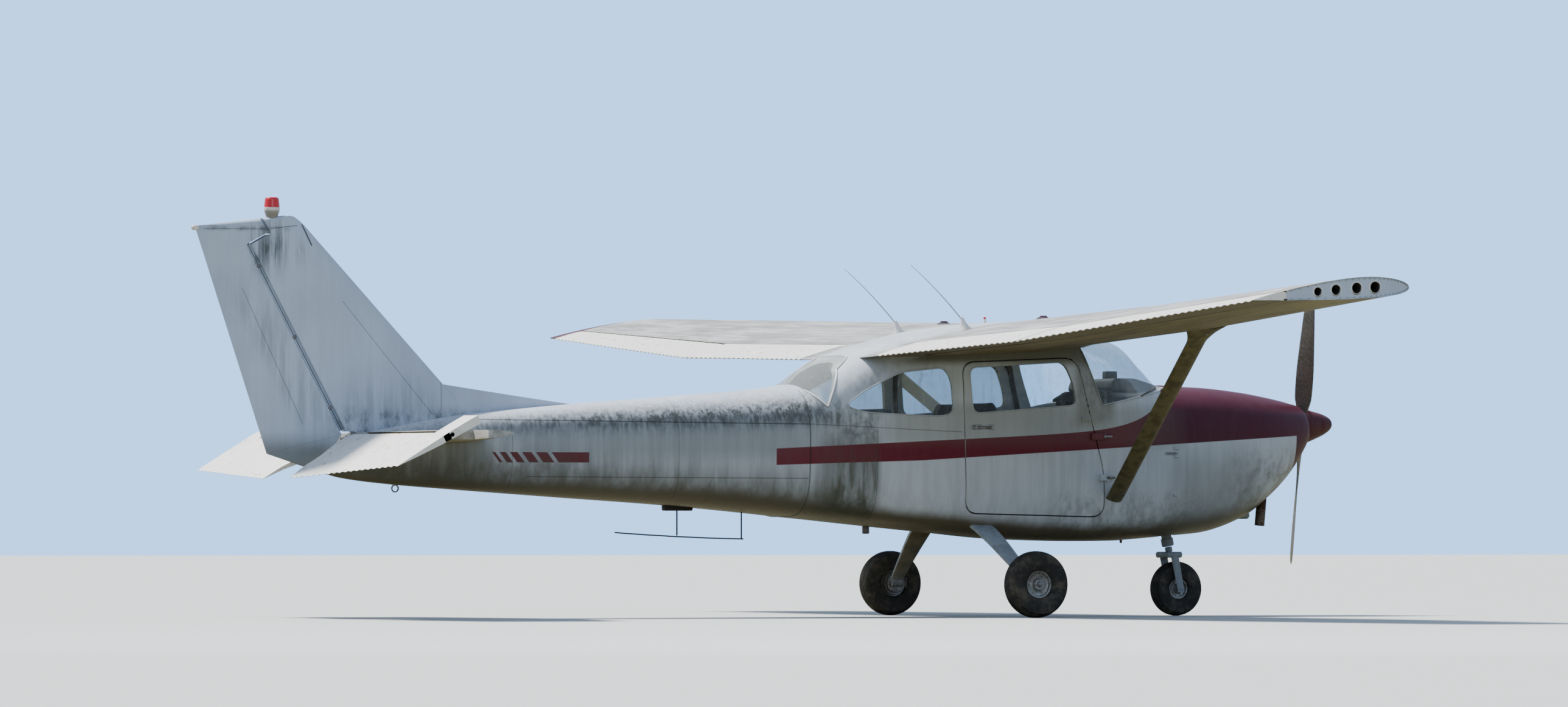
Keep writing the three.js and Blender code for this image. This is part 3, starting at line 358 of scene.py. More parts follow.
def block(centre: Point, size: Point, radius: float = 0.003,
          axes: Union[Array, None] = None) -> Shell:
    """A small fitting with rounded edges: rounded rectangles, drawn in at both ends.

    Args:
        centre: Its middle.
        size: Its lengths along its three axes.
        radius: How round its edges are.
        axes: Three directions as rows, when it isn't square to the aircraft.

    Returns:
        The shell.
    """
    a, b, c = (s / 2 for s in size)
    radius = min(radius, 0.98 * min(a, b, c))
    lean = np.linspace(0, math.pi / 2, 4)
    along = np.concatenate([-a + radius * (1 - np.cos(lean)),
                            a - radius * (1 - np.cos(lean[::-1]))])
    inset = np.concatenate([radius * (1 - np.sin(lean)), radius * (1 - np.sin(lean[::-1]))])
    turn = np.repeat(np.arange(4) * math.pi / 2, 4) + np.tile(lean, 4)
    corner = np.repeat([[1, 1], [-1, 1], [-1, -1], [1, -1]], 4, axis=0)
    reach = np.stack([np.cos(turn), np.sin(turn)], -1) * radius
    flat = corner * [b - radius, c - radius] + reach
    shrink = 1 - inset[:, None, None] / np.array([b, c])
    rings = np.concatenate([np.broadcast_to(along[:, None, None], (8, 16, 1)),
                            flat[None] * shrink], -1)
    ways = np.eye(3) if axes is None else np.asarray(axes, float)
    return loft(rings @ ways + np.asarray(centre, float))


def rounded(outline: Sequence[tuple[float, float]], radius: float, steps: int = 10,
            grow: float = 0.0) -> Array:
    """A flat outline with its corners rounded by a parabola through each corner's two sides.

    Args:
        outline: Corners in millimetres.
        radius: How far from a corner the rounding starts, in millimetres.
        steps: Points on each rounding.
        grow: How far every side moves outwards, in millimetres.

    Returns:
        The points in metres.
    """
    corner = np.asarray(outline, float)
    if grow:
        after = np.roll(corner, -1, 0) - corner
        area = np.sum(corner[:, 0] * np.roll(corner[:, 1], -1)
                      - corner[:, 1] * np.roll(corner[:, 0], -1))
        normal = unit(np.stack([after[:, 1], -after[:, 0]], -1)) * np.sign(area)
        level = np.sum(normal * corner, 1) + grow
        first, level0 = np.roll(normal, 1, 0), np.roll(level, 1)
        det = first[:, 0] * normal[:, 1] - first[:, 1] * normal[:, 0]
        corner = np.stack([level0 * normal[:, 1] - first[:, 1] * level,
                           first[:, 0] * level - level0 * normal[:, 0]], -1) / det[:, None]
    if not radius:
        return corner * MM
    def toward(other: Array) -> Array:
        """Where the rounding meets the side that runs to another corner."""
        length = np.linalg.norm(other - corner, axis=1, keepdims=True)
        return corner + (other - corner) * np.minimum(radius, length * 0.45) / length
    start, stop = toward(np.roll(corner, 1, 0)), toward(np.roll(corner, -1, 0))
    t = np.linspace(0, 1, steps)[None, :, None]
    curve = ((1 - t) ** 2 * start[:, None] + 2 * t * (1 - t) * corner[:, None]
             + t * t * stop[:, None])
    return curve.reshape(-1, 2) * MM


def prism(outline: Array, low: float, high: float, axis: int = 1) -> Shell:
    """A flat outline carried straight from one level to another along an axis."""
    rings = np.stack([np.insert(outline, axis, level, axis=1) for level in (low, high)])
    return loft(rings)


def side_cutter(outline: Array, side: float = 0.0) -> Shell:
    """A side-view outline carried across the whole body, or through one side of it."""
    low, high = sorted((side * 0.1, side * BODY_REACH)) if side else (-BODY_REACH, BODY_REACH)
    return prism(outline, low, high)


def elevator_room() -> Shell:
    """The notch in fin, tail cone and tailplane that the elevator's tube turns in."""
    return block((-5.787, 0, 1.156), (0.146, 0.6, 0.068), 0.002)


def cut(target: Thing, cutters: Sequence[Shell], how: Cut = Cut.OUT) -> Thing:
    """Cuts, keeps or joins solids, and leaves plain mesh behind.

    Args:
        target: The object to change.
        cutters: The solids that act on it, one after another.
        how: What they do.

    Returns:
        The same object.
    """
    tools = [shell.thing(f"cutter_{i}") for i, shell in enumerate(cutters)]
    for tool in tools:
        step = target.modifiers.new("cut", "BOOLEAN")
        step.operation, step.solver, step.object = how.value, "EXACT", tool
    mesh, old = finished(target), target.data
    target.modifiers.clear()
    target.data = mesh
    bpy.data.meshes.remove(old)
    for tool in tools:
        data = tool.data
        bpy.data.objects.remove(tool)
        bpy.data.meshes.remove(data)
    return target


def bent(start: Point, stop: Point, sag: Point, count: int) -> Array:
    """Points from start to stop that bow towards sag: a parabola over the straight line."""
    t = np.linspace(0, 1, count)[:, None]
    start, stop, sag = (np.asarray(p, float) for p in (start, stop, sag))
    return start * (1 - t) + stop * t + 4 * t * (1 - t) * sag


def through(points: Sequence[Point], count: int) -> Array:
    """A smooth path through a few points: one cubic per gap along the walked length."""
    rows = np.asarray(points, float)
    walked = np.concatenate([[0], np.cumsum(np.linalg.norm(np.diff(rows, axis=0), axis=1))])
    return smooth_table(np.column_stack([walked, rows]), np.linspace(0, walked[-1], count))


class BodyForm:
    """The fuselage's outer form: half ellipses with squared corners above and below."""

    def columns(self, x: Array) -> Array:
        """The section's sizes at stations: cowling and cabin are two smooth stretches."""
        ahead = smooth_table(BODY[BODY[:, 0] >= 0], x)
        behind = smooth_table(BODY[BODY[:, 0] <= 0], x)
        return np.where((x > 0)[:, None], ahead, behind)

    def rings(self, x: Point, grow: float = 0.0, count: int = 176) -> Array:
        """Section rings: |y/half|^n + |(z - middle)/height|^n = 1, read by direction.

        Args:
            x: Stations.
            grow: How far the form is swollen all round.
            count: Points round each ring.

        Returns:
            Points as ring, place and x y z.
        """
        x = np.asarray(x, float)
        bottom, top, half, middle, upper, lower = (c[:, None] for c in self.columns(x).T)
        c, s = circle(count, 0.5)
        reach = squared(c, s, np.where(s > 0, upper, lower))
        tall = np.where(s > 0, top + grow - middle, middle - bottom + grow)
        return np.stack([np.broadcast_to(x[:, None], reach.shape),
                         (half + grow) * reach * c, middle + tall * reach * s], -1)

    def solid(self, ahead: float, behind: float, grow: float = 0.0, step: float = 0.016,
              count: int = 176) -> Shell:
        """The closed form between two stations."""
        stretch = np.linspace(ahead, behind, max(2, round((ahead - behind) / step) + 1))
        if ahead > 0 > behind:
            stretch = np.sort(np.append(stretch, 0.0))[::-1]
        return loft(self.rings(stretch, grow, count))

    def share(self, points: Array, depth: float) -> Array:
        """Where points lie on the form shrunk by depth: under 1 is inside it."""
        bottom, top, half, middle, upper, lower = self.columns(points[:, 0]).T
        above = points[:, 2] > middle
        power = np.where(above, upper, lower)
        tall = np.where(above, top - middle, middle - bottom) - depth
        return (np.abs(points[:, 1] / (half - depth)) ** power
                + np.abs((points[:, 2] - middle) / tall) ** power)

    def side(self, x: Array, z: Array, grow: float = 0.0) -> Array:
        """Half width at a station and height: half (1 - |(z - middle)/height|^n)^(1/n)."""
        bottom, top, half, middle, upper, lower = self.columns(x).T
        power = np.where(z > middle, upper, lower)
        tall = np.where(z > middle, top - middle, middle - bottom) + grow
        rest = np.clip(1 - np.abs((z - middle) / tall) ** power, 0, None)
        return (half + grow) * rest ** (1 / power)

    def height(self, x: Array, y: Array, grow: float = 0.0, above: bool = True) -> Array:
        """Height of the top or the underside at a station and distance out."""
        bottom, top, half, middle, upper, lower = self.columns(x).T
        power, tall = (upper, top - middle + grow) if above else (lower, middle - bottom + grow)
        rest = np.clip(1 - np.abs(y / (half + grow)) ** power, 0, None)
        return middle + (tall if above else -tall) * rest ** (1 / power)

    def on_side(self, outline: Array, side: float, grow: float = 0.0) -> Array:
        """Side-view points, or one point, laid on the form's side."""
        x, z = np.atleast_2d(outline).T
        return np.squeeze(np.stack([x, side * self.side(x, z, grow), z], -1))


FORM = BodyForm()


class Net:
    """A material's nodes, with short calls that add them and join them up."""

    def __init__(self, name: str) -> None:
        """Starts a material with one surface shader and the object's own coordinates."""
        self.material = bpy.data.materials.new(name)
        self.material.use_nodes = True
        self.tree = self.material.node_tree
        self.tree.nodes.clear()
        self.output = self.tree.nodes.new("ShaderNodeOutputMaterial")
        self.shader = self.tree.nodes.new("ShaderNodeBsdfPrincipled")
        self.tree.links.new(self.shader.outputs[0], self.output.inputs[0])
        source = self.tree.nodes.new("ShaderNodeTexCoord")
        self.facing = self.node("ShaderNodeSeparateXYZ", {0: source.outputs["Normal"]}).outputs
        self.place = self.node("ShaderNodeVectorMath",
                               {0: source.outputs["Object"], 1: tuple(-SHIFT)},
                               operation="ADD").outputs[0]
        self.x, self.y, self.z = self.node("ShaderNodeSeparateXYZ", {0: self.place}).outputs

    def node(self, kind: str, values: dict, **settings: object) -> bpy.types.Node:
        """Adds a node.

        Args:
            kind: The node's type.
            values: What goes into its inputs, by number or name: a socket, or a constant.
            settings: The node's own settings.

        Returns:
            The node.
        """
        made = self.tree.nodes.new(kind)
        for key, value in settings.items():
            setattr(made, key, value)
        for key, value in values.items():
            self.feed(made.inputs[key], value)
        return made

    def feed(self, socket: Socket, value: object) -> None:
        """Joins a socket to an input, or sets the input's constant."""
        if isinstance(value, Socket):
            self.tree.links.new(value, socket)
        elif isinstance(value, tuple) and len(value) == 3 and socket.type == "RGBA":
            socket.default_value = (*value, 1.0)
        else:
            socket.default_value = value

    def math(self, operation: str, a: object, b: object = 0.0, c: object = 0.0) -> Socket:
        """One sum."""
        return self.node("ShaderNodeMath", {0: a, 1: b, 2: c}, operation=operation).outputs[0]

    def linear(self, value: object, scale: object, start: object) -> Socket:
        """The value times a scale, plus a start."""
        return self.math("MULTIPLY_ADD", value, scale, start)

    def plus(self, a: object, b: object) -> Socket:
        """The sum of two."""
        return self.math("ADD", a, b)

    def times(self, *factors: object) -> Socket:
        """The product of its factors."""
        return reduce(lambda total, factor: self.math("MULTIPLY", total, factor), factors)

    def step(self, value: object, low: float, high: float, top: float = 1.0) -> Socket:
        """Rises smoothly from 0 at low to top at high; low may be above high."""
        flip = low > high
        ends = (high, low) if flip else (low, high)
        levels = (top, 0.0) if flip else (0.0, top)
        return self.node("ShaderNodeMapRange", {0: value, 1: ends[0], 2: ends[1], 3: levels[0],
                                                4: levels[1]},
                         interpolation_type="SMOOTHSTEP").outputs[0]

    def band(self, value: object, low: float, high: float, soft: float) -> Socket:
        """1 between low and high, with soft edges."""
        return self.times(self.step(value, low - soft, low + soft),
                          self.step(value, high + soft, high - soft))

    def noise(self, scale: float, stretch: tuple = (1.0, 1.0, 1.0), detail: float = 4.0,
              rough: float = 0.55, shift: tuple = (0.0, 0.0, 0.0)) -> Socket:
        """Cloudy noise, about 0.3 to 0.7, at so many cells a metre."""
        spot = self.node("ShaderNodeVectorMath", {0: self.place, 1: stretch, 2: shift},
                         operation="MULTIPLY_ADD").outputs[0]
        return self.node("ShaderNodeTexNoise", {"Vector": spot, "Scale": scale, "Detail": detail,
                                                "Roughness": rough}).outputs[0]

    def cells(self, scale: float, stretch: tuple = (1.0, 1.0, 1.0)) -> Socket:
        """Distance to the nearest of many scattered points."""
        spot = self.node("ShaderNodeVectorMath", {0: self.place, 1: stretch},
                         operation="MULTIPLY").outputs[0]
        return self.node("ShaderNodeTexVoronoi", {"Vector": spot, "Scale": scale}).outputs[0]

    def mix(self, share: object, a: object, b: object) -> Socket:
        """A colour between a and b."""
        return self.node("ShaderNodeMix", {0: share, 6: a, 7: b}, data_type="RGBA").outputs[2]

    def stroke(self, start: tuple[float, float], stop: tuple[float, float], width: float) -> Socket:
        """One thin straight line in side view: near zero across it, and within it along."""
        way = unit(np.subtract(stop, start))
        across, along = (self.linear(self.x, float(a), self.linear(
            self.z, float(b), -float(a * start[0] + b * start[1])))
            for a, b in ((-way[1], way[0]), (way[0], way[1])))
        return self.times(self.step(self.math("ABSOLUTE", across), width, width * 0.3),
                          self.band(along, 0.0, float(np.linalg.norm(np.subtract(stop, start))),
                                    0.004))

    def bump(self, height: Socket, depth: float, strength: float = 1.0) -> None:
        """Raises the surface by a height times a depth in metres."""
        node = self.node("ShaderNodeBump", {"Strength": strength, "Distance": depth,
                                            "Height": height})
        self.tree.links.new(node.outputs[0], self.shader.inputs["Normal"])

    def done(self, colour: object, rough: object, **constants: object) -> Material:
        """Feeds the shader and returns the material."""
        self.feed(self.shader.inputs["Base Color"], colour)
        self.feed(self.shader.inputs["Roughness"], rough)
        for key, value in constants.items():
            self.feed(self.shader.inputs[key.replace("_", " ")], value)
        return self.material


# Colours of what lies on the paint, one of them also painted shade, and of the nose's own coat
RAIN_GREY = (0.13, 0.135, 0.135)
MOULD_AND_SHADE = (0.045, 0.05, 0.048)
MUD = (0.072, 0.068, 0.045)
SEAM = (0.035, 0.036, 0.032)
WORN = (0.1, 0.09, 0.09)
NOSE_WHITE = (0.52, 0.57, 0.64)
NOSE_MAROON = (0.07, 0.007, 0.022)
MAROON = (0.08, 0.009, 0.018)
BLACK = (0.0, 0.0, 0.0)

# The slanted dashes behind the stripe, as the stations where each starts and stops
DASHES = ((-4.395, -4.1), (-4.498, -4.423), (-4.589, -4.526), (-4.669, -4.618), (-4.736, -4.695),
          (-4.785, -4.764))


class Scheme(Enum):
    """How the coloured trim is painted on a weathered skin."""

    PLAIN = "plain"
    CABIN = "cabin"
    COWLING = "cowling"


class Pattern(Enum):
    """What breaks up a patch of dirt, or of painted shadow."""

    EVEN = "even"
    RUNS = "runs"
    BLOTS = "blots"


@dataclass(frozen=True)
class StainAndShadow:
    """Dirt in side view, or a painted shadow: a soft-edged, leaning box, broken up by a pattern.

    A box leans so many metres aft for each metre up; its stations are read at height 0.
    """

    x: tuple[float, float]
    z: tuple[float, float]
    strength: float = 0.6
    soft: tuple[float, float] = (0.06, 0.08)
    pattern: Pattern = Pattern.RUNS
    colour: Colour = (0.045, 0.046, 0.036)
    lean: float = 0.0


@dataclass(frozen=True)
class Stroke:
    """A straight seam or scratch in side view, between two points."""

    start: tuple[float, float]
    stop: tuple[float, float]
    width: float = 0.0035
    strength: float = 0.55


@dataclass(frozen=True)
class OldPaint:
    """Chalked paint, streaked by rain, with mould and painted shade on its shoulders, and olive
    underneath, partly dirt and partly painted shade.
    """

    name: str
    clean: Colour = (0.62, 0.67, 0.74)
    # Colour of faces that look down: partly dirt, partly painted shade and grass bounce light
    under: Colour = (0.13, 0.105, 0.062)
    scheme: Scheme = Scheme.PLAIN
    streaks: float = 0.18
    # How dark the shoulders get: mould streaks and painted shade
    shoulder: float = 0.0
    # Mud low on the body aft, and the painted shade on faces that look down
    low_dirt_and_shade: float = 0.0
    cloudy: float = 0.35
    grain: tuple = (14.0, 14.0, 0.9)
    stains_and_shadow: tuple = ()
    strokes: tuple = ()
    under_start: float = -0.05
    trim: Colour = (0.142, 0.007, 0.022)
    coat: float = 0.05

    def stripe(self, net: Net) -> Socket:
        """The maroon trim: a long stripe, the swept top of the cowling, and the slanted dashes.

        Its lower edge is the higher of two straight lines along x, and its upper edge is a
        straight line plus a sweep that grows e-fold every 0.19 m towards the nose.
        """
        low = net.math("MAXIMUM", net.linear(net.x, 0.0328, 1.081), net.linear(net.x, 0.062, 1.138))
        sweep = net.times(net.math("EXPONENT", net.times(net.x, 5.2)), 0.5)
        high = net.plus(net.linear(net.x, 0.0507, 1.2404), sweep)
        above = net.step(net.math("SUBTRACT", net.z, low), -0.002, 0.002)
        if self.scheme is Scheme.COWLING:
            return net.math("MAXIMUM", above, net.step(net.x, 0.896, 0.9))
        below = net.step(net.math("SUBTRACT", high, net.z), -0.002, 0.002)
        stripe = net.times(above, below, net.step(net.x, -2.952, -2.948))
        slant = net.linear(net.math("SUBTRACT", net.z, 0.996), 0.76, net.x)
        dashes = 0.0
        for start, stop in DASHES:
            dashes = net.plus(net.band(slant, start, stop, 0.002), dashes)
        dashes = net.times(dashes, net.step(net.x, -4.193, -4.197),
                           net.band(net.z, 0.996, 1.062, 0.002))
        return net.math("MAXIMUM", stripe, dashes)

    def make(self) -> Material:
        """Builds the material, layer by layer, from the clean paint outwards."""
        net = Net(self.name)
        up = net.facing[2]
        cloud = net.noise(1.7, detail=5.0)
        streak = net.noise(1.0, self.grain, detail=6.0, rough=0.62)
        fine = net.noise(38.0, detail=5.0, rough=0.7)
        runs = net.noise(1.0, tuple(g * 3 for g in self.grain), detail=5.0, rough=0.62,
                         shift=(3.1, 0.7, 1.9))
        blots = net.noise(15.0, (1.0, 1.0, 0.6), detail=6.0, rough=0.68)
        spread = {Pattern.EVEN: net.step(cloud, 0.05, 0.45),
                  Pattern.BLOTS: net.step(blots, 0.36, 0.72),
                  Pattern.RUNS: net.step(net.linear(runs, 0.6, streak), 0.62, 0.98)}
        bare, base, trim = 1.0, self.clean, self.trim
        if self.scheme is not Scheme.PLAIN:
            ahead = net.step(net.x, -0.75, 0.02)
            base = net.mix(ahead, base, NOSE_WHITE)
            trim = net.mix(ahead, trim, NOSE_MAROON)
        colour = net.mix(net.step(cloud, 0.35, 0.7, self.cloudy), base, net.mix(0.3, base, BLACK))
        if self.scheme is not Scheme.PLAIN:
            worn = net.mix(net.step(fine, 0.45, 0.75, 0.1), trim, WORN)
            stripe = self.stripe(net)
            bare = net.linear(stripe, -0.75, 1.0)
            colour = net.mix(stripe, colour, worn)
        colour = net.mix(net.times(spread[Pattern.RUNS], bare, self.streaks), colour, RAIN_GREY)
        if self.shoulder:
            # Painted shade with mould: faces between the top and the side are darkened, broken up
            # by mottle
            zone = net.times(net.band(up, 0.18, 0.78, 0.22), net.step(net.x, -2.5, -2.75),
                             net.step(net.x, -6.6, -3.6))
            mottle = net.linear(blots, 0.4, net.linear(fine, 0.3, runs))
            mottle = net.linear(net.step(mottle, 0.72, 1.0), 0.62, 0.38)
            colour = net.mix(net.times(zone, mottle, self.shoulder), colour, MOULD_AND_SHADE)
        if self.low_dirt_and_shade:
            rise = net.linear(net.x, 0.082, net.math("SUBTRACT", net.z, 0.42))
            rise = net.linear(streak, -0.3, net.plus(rise, 0.15))
            aft = net.times(net.step(rise, 0.36, 0.03), net.step(net.x, -2.15, -2.5), 0.9)
            colour = net.mix(net.times(aft, self.low_dirt_and_shade), colour, MUD)
            # Painted shade and grass bounce light, partly dirt: faces that look down take the under
            # colour
            drop = net.linear(cloud, 0.5, net.times(up, -1.0))
            edge = net.step(drop, 0.62, 1.05, self.low_dirt_and_shade)
            colour = net.mix(edge, colour, self.under)
        else:
            # Painted shade and grass bounce light, partly dirt: faces that look down take the under
            # colour
            colour = net.mix(net.step(up, self.under_start, self.under_start - 0.35), colour,
                             net.mix(net.step(streak, 0.4, 0.65), self.under,
                                     dimmed(self.under, 0.6)))
        bare = net.times(bare, net.step(up, 0.65, 0.4))
        for stain_and_shadow in self.stains_and_shadow:
            x = net.linear(net.z, stain_and_shadow.lean, net.x) if stain_and_shadow.lean else net.x
            box = net.times(net.band(x, *stain_and_shadow.x, stain_and_shadow.soft[0]),
                            net.band(net.z, *stain_and_shadow.z, stain_and_shadow.soft[1]))
            colour = net.mix(net.times(box, spread[stain_and_shadow.pattern], bare, stain_and_shadow.strength), colour,
                             stain_and_shadow.colour)
        relief = net.times(fine, 0.12)
        for stroke in self.strokes:
            seam = net.stroke(stroke.start, stroke.stop, stroke.width)
            colour = net.mix(net.times(seam, stroke.strength), colour, SEAM)
            relief = net.math("SUBTRACT", relief, seam)
        net.bump(relief, 0.0009, 0.8)
        return net.done(colour, net.linear(fine, 0.35, 0.3), Metallic=0.0,
                        Coat_Weight=self.coat, Coat_Roughness=0.35, Specular_IOR_Level=0.25)


BODY_STAINS_AND_SHADOW = (
    StainAndShadow((-2.58, -2.26), (0.4, 1.13), 0.8, (0.035, 0.1), colour=(0.052, 0.054, 0.036)),
    StainAndShadow((-2.66, -2.25), (0.4, 1.16), 0.62, (0.05, 0.14), Pattern.EVEN, (0.085, 0.088, 0.062)),
    StainAndShadow((-2.6, -2.24), (1.13, 1.38), 0.75, (0.06, 0.08), Pattern.BLOTS, (0.05, 0.054, 0.04)),
    StainAndShadow((-4.6, -2.3), (1.238, 1.32), 0.7, (0.2, 0.03)),
    StainAndShadow((-3.0, -2.52), (1.27, 1.44), 0.75, (0.05, 0.05), Pattern.BLOTS),
    StainAndShadow((-2.5, -2.2), (1.45, 1.66), 0.5, (0.06, 0.08), Pattern.BLOTS, (0.13, 0.115, 0.09)),
    # Painted shadow of the wing over the roof's edge above the windows, mixed with olive dirt
    StainAndShadow((-2.05, -0.55), (1.65, 1.95), 0.85, (0.12, 0.035), Pattern.EVEN, (0.115, 0.105, 0.06)),
    StainAndShadow((-0.9, -0.67), (1.24, 1.298), 0.55, (0.012, 0.012), Pattern.EVEN, (0.47, 0.48, 0.45)),
    StainAndShadow((-6.1, -4.2), (0.76, 1.02), 0.5, (0.3, 0.08), Pattern.BLOTS, (0.1, 0.098, 0.062)),
    StainAndShadow((-0.84, -0.56), (1.26, 1.8), 0.55, (0.04, 0.06), Pattern.EVEN, (0.17, 0.165, 0.13)),
    StainAndShadow((-0.84, -0.56), (1.26, 1.8), 0.45, (0.04, 0.06), Pattern.BLOTS, (0.09, 0.088, 0.07)),
    StainAndShadow((-2.2, -0.05), (1.12, 1.38), 0.5, (0.12, 0.05), Pattern.EVEN, (0.27, 0.28, 0.25)),
    StainAndShadow((-6.2, -2.4), (0.5, 1.36), 0.32, (0.6, 0.08), Pattern.EVEN, (0.12, 0.125, 0.125)),
    StainAndShadow((-4.9, -2.6), (1.03, 1.36), 0.35, (0.4, 0.06), Pattern.EVEN, (0.13, 0.145, 0.155)),
    StainAndShadow((-0.17, -0.08), (1.06, 1.078), 0.8, (0.02, 0.01), Pattern.EVEN, (0.05, 0.045, 0.045)),
)
BODY_STROKES = (
    Stroke((-5.0, 1.27), (-2.72, 1.249), 0.005, 0.75),
    Stroke((-2.72, 1.249), (-1.66, 1.203), 0.004, 0.5),
    Stroke((-4.6, 0.905), (-2.73, 0.898), 0.004, 0.6),
    Stroke((-2.725, 0.62), (-2.72, 1.47), 0.004, 0.7),
    Stroke((-2.262, 0.6), (-2.258, 1.22), 0.0035, 0.55),
    Stroke((-3.6, 0.7), (-3.6, 1.42), 0.003, 0.4),
    Stroke((-4.7, 0.8), (-4.7, 1.34), 0.003, 0.45),
    Stroke((-1.586, 1.248), (-1.525, 1.248), 0.003, 0.6),
    Stroke((-1.586, 1.222), (-1.525, 1.222), 0.003, 0.6),
    Stroke((-1.48, 1.25), (-1.433, 1.25), 0.003, 0.6),
    Stroke((-1.48, 1.22), (-1.433, 1.22), 0.003, 0.6),
)
NOSE_STAINS = (
    StainAndShadow((-1.0, 0.1), (0.45, 0.8), 0.5, (0.12, 0.08), Pattern.BLOTS, (0.1, 0.09, 0.07)),
    StainAndShadow((0.35, 1.1), (0.55, 1.08), 0.6, (0.2, 0.1), Pattern.BLOTS, (0.1, 0.088, 0.062)),
    StainAndShadow((-0.1, 0.6), (0.5, 1.06), 0.45, (0.16, 0.14), Pattern.EVEN, (0.17, 0.18, 0.18)),
)
TAIL_STAINS = (
    StainAndShadow((-6.42, -6.2), (2.22, 2.462), 1.0, (0.03, 0.14), colour=(0.03, 0.034, 0.026)),
    StainAndShadow((-6.36, -6.24), (2.3, 2.47), 0.85, (0.03, 0.1), Pattern.BLOTS, (0.035, 0.038, 0.03)),
    StainAndShadow((-6.22, -6.05), (2.27, 2.47), 0.6, (0.03, 0.1)),
    StainAndShadow((-6.73, -6.15), (2.455, 2.482), 0.8, (0.05, 0.012), Pattern.BLOTS),
    StainAndShadow((-5.42, -5.145), (1.2, 2.05), 0.3, (0.05, 0.2), lean=0.547),
    StainAndShadow((-6.62, -5.85), (0.9, 1.13), 0.7, (0.1, 0.08), Pattern.EVEN, (0.1, 0.1, 0.085)),
    StainAndShadow((-5.85, -4.15), (1.15, 1.325), 0.75, (0.1, 0.05), Pattern.BLOTS, (0.06, 0.064, 0.056)),
    StainAndShadow((-5.78, -5.15), (1.25, 1.5), 0.22, (0.1, 0.12)),
)
TAIL_STROKES = (
    Stroke((-5.791, 1.196), (-6.434, 2.372), 0.0045, 0.95),
    Stroke((-6.432, 2.368), (-6.288, 2.447), 0.005, 0.9),
    Stroke((-6.066, 2.5), (-6.004, 2.365), 0.008, 0.9),
    Stroke((-5.799, 2.016), (-5.185, 1.302), 0.0035, 0.5),
    Stroke((-6.469, 2.089), (-6.06, 1.238), 0.0035, 0.5),
    Stroke((-6.728, 2.463), (-6.342, 2.467), 0.004, 0.5),
    Stroke((-6.285, 2.47), (-6.1, 2.492), 0.004, 0.7),
    Stroke((-5.112, 1.512), (-5.122, 1.325), 0.0035, 0.6),
)


@dataclass(frozen=True)
class BeadedPaint:
    """White paint on a beaded skin, with black specks, smears of dirt, and a brown underside of
    painted shade.
    """

    name: str
    clean: Colour = (0.88, 0.87, 0.84)

    def make(self) -> Material:
        """Builds the material."""
        net = Net(self.name)
        up = net.facing[2]
        fine = net.noise(55.0, detail=5.0, rough=0.7)
        cloud = net.noise(3.0, detail=4.0)
        smear = net.noise(1.0, (5.0, 26.0, 8.0), detail=5.0, rough=0.6)
        colour = net.mix(net.step(cloud, 0.4, 0.7, 0.25), self.clean, dimmed(self.clean, 0.8))
        colour = net.mix(net.times(net.step(smear, 0.56, 0.74), 0.3), colour, (0.3, 0.28, 0.24))
        colour = net.mix(net.step(fine, 0.61, 0.72, 0.75), colour, (0.09, 0.085, 0.065))
        speck = net.noise(17.0, (1.0, 1.0, 1.0), detail=5.0, rough=0.72)
        colour = net.mix(net.step(speck, 0.56, 0.68, 0.6), colour, (0.22, 0.205, 0.155))
        # Painted shade and grass bounce light: faces that look down turn brown
        colour = net.mix(net.step(up, 0.05, -0.5, 0.95), colour, (0.12, 0.1, 0.055))
        net.bump(fine, 0.0006, 0.6)
        return net.done(colour, net.linear(fine, 0.3, 0.34), Coat_Weight=0.1, Coat_Roughness=0.4)


@dataclass(frozen=True)
class OldMetal:
    """Dull metal, clouded by weather and rust."""

    name: str
    colour: Colour = (0.3, 0.3, 0.31)
    rust: Colour = (0.11, 0.055, 0.03)
    rusty: float = 0.3
    metallic: float = 0.85
    rough: float = 0.38

    def make(self) -> Material:
        """Builds the material."""
        net = Net(self.name)
        fine = net.noise(70.0, detail=6.0, rough=0.65)
        cloud = net.noise(9.0, detail=4.0)
        patch = net.step(net.plus(cloud, net.times(fine, 0.6)), 0.72, 0.95)
        colour = net.mix(net.step(fine, 0.35, 0.7), self.colour, dimmed(self.colour, 0.6))
        colour = net.mix(net.times(patch, self.rusty), colour, self.rust)
        net.bump(fine, 0.0005, 0.7)
        rough = net.linear(patch, 0.3, self.rough)
        return net.done(colour, rough, Metallic=self.metallic)


@dataclass(frozen=True)
class Rubber:
    """Perished black rubber, dusty in patches."""

    name: str
    colour: Colour = (0.022, 0.021, 0.02)
    dust: Colour = (0.16, 0.135, 0.1)

    def make(self) -> Material:
        """Builds the material."""
        net = Net(self.name)
        fine = net.noise(90.0, detail=5.0, rough=0.7)
        cloud = net.noise(14.0, detail=5.0, rough=0.65)
        colour = net.mix(net.step(cloud, 0.42, 0.72, 0.6), self.colour, self.dust)
        net.bump(net.plus(fine, net.times(cloud, 0.5)), 0.0012, 0.7)
        return net.done(colour, net.linear(fine, 0.2, 0.68))


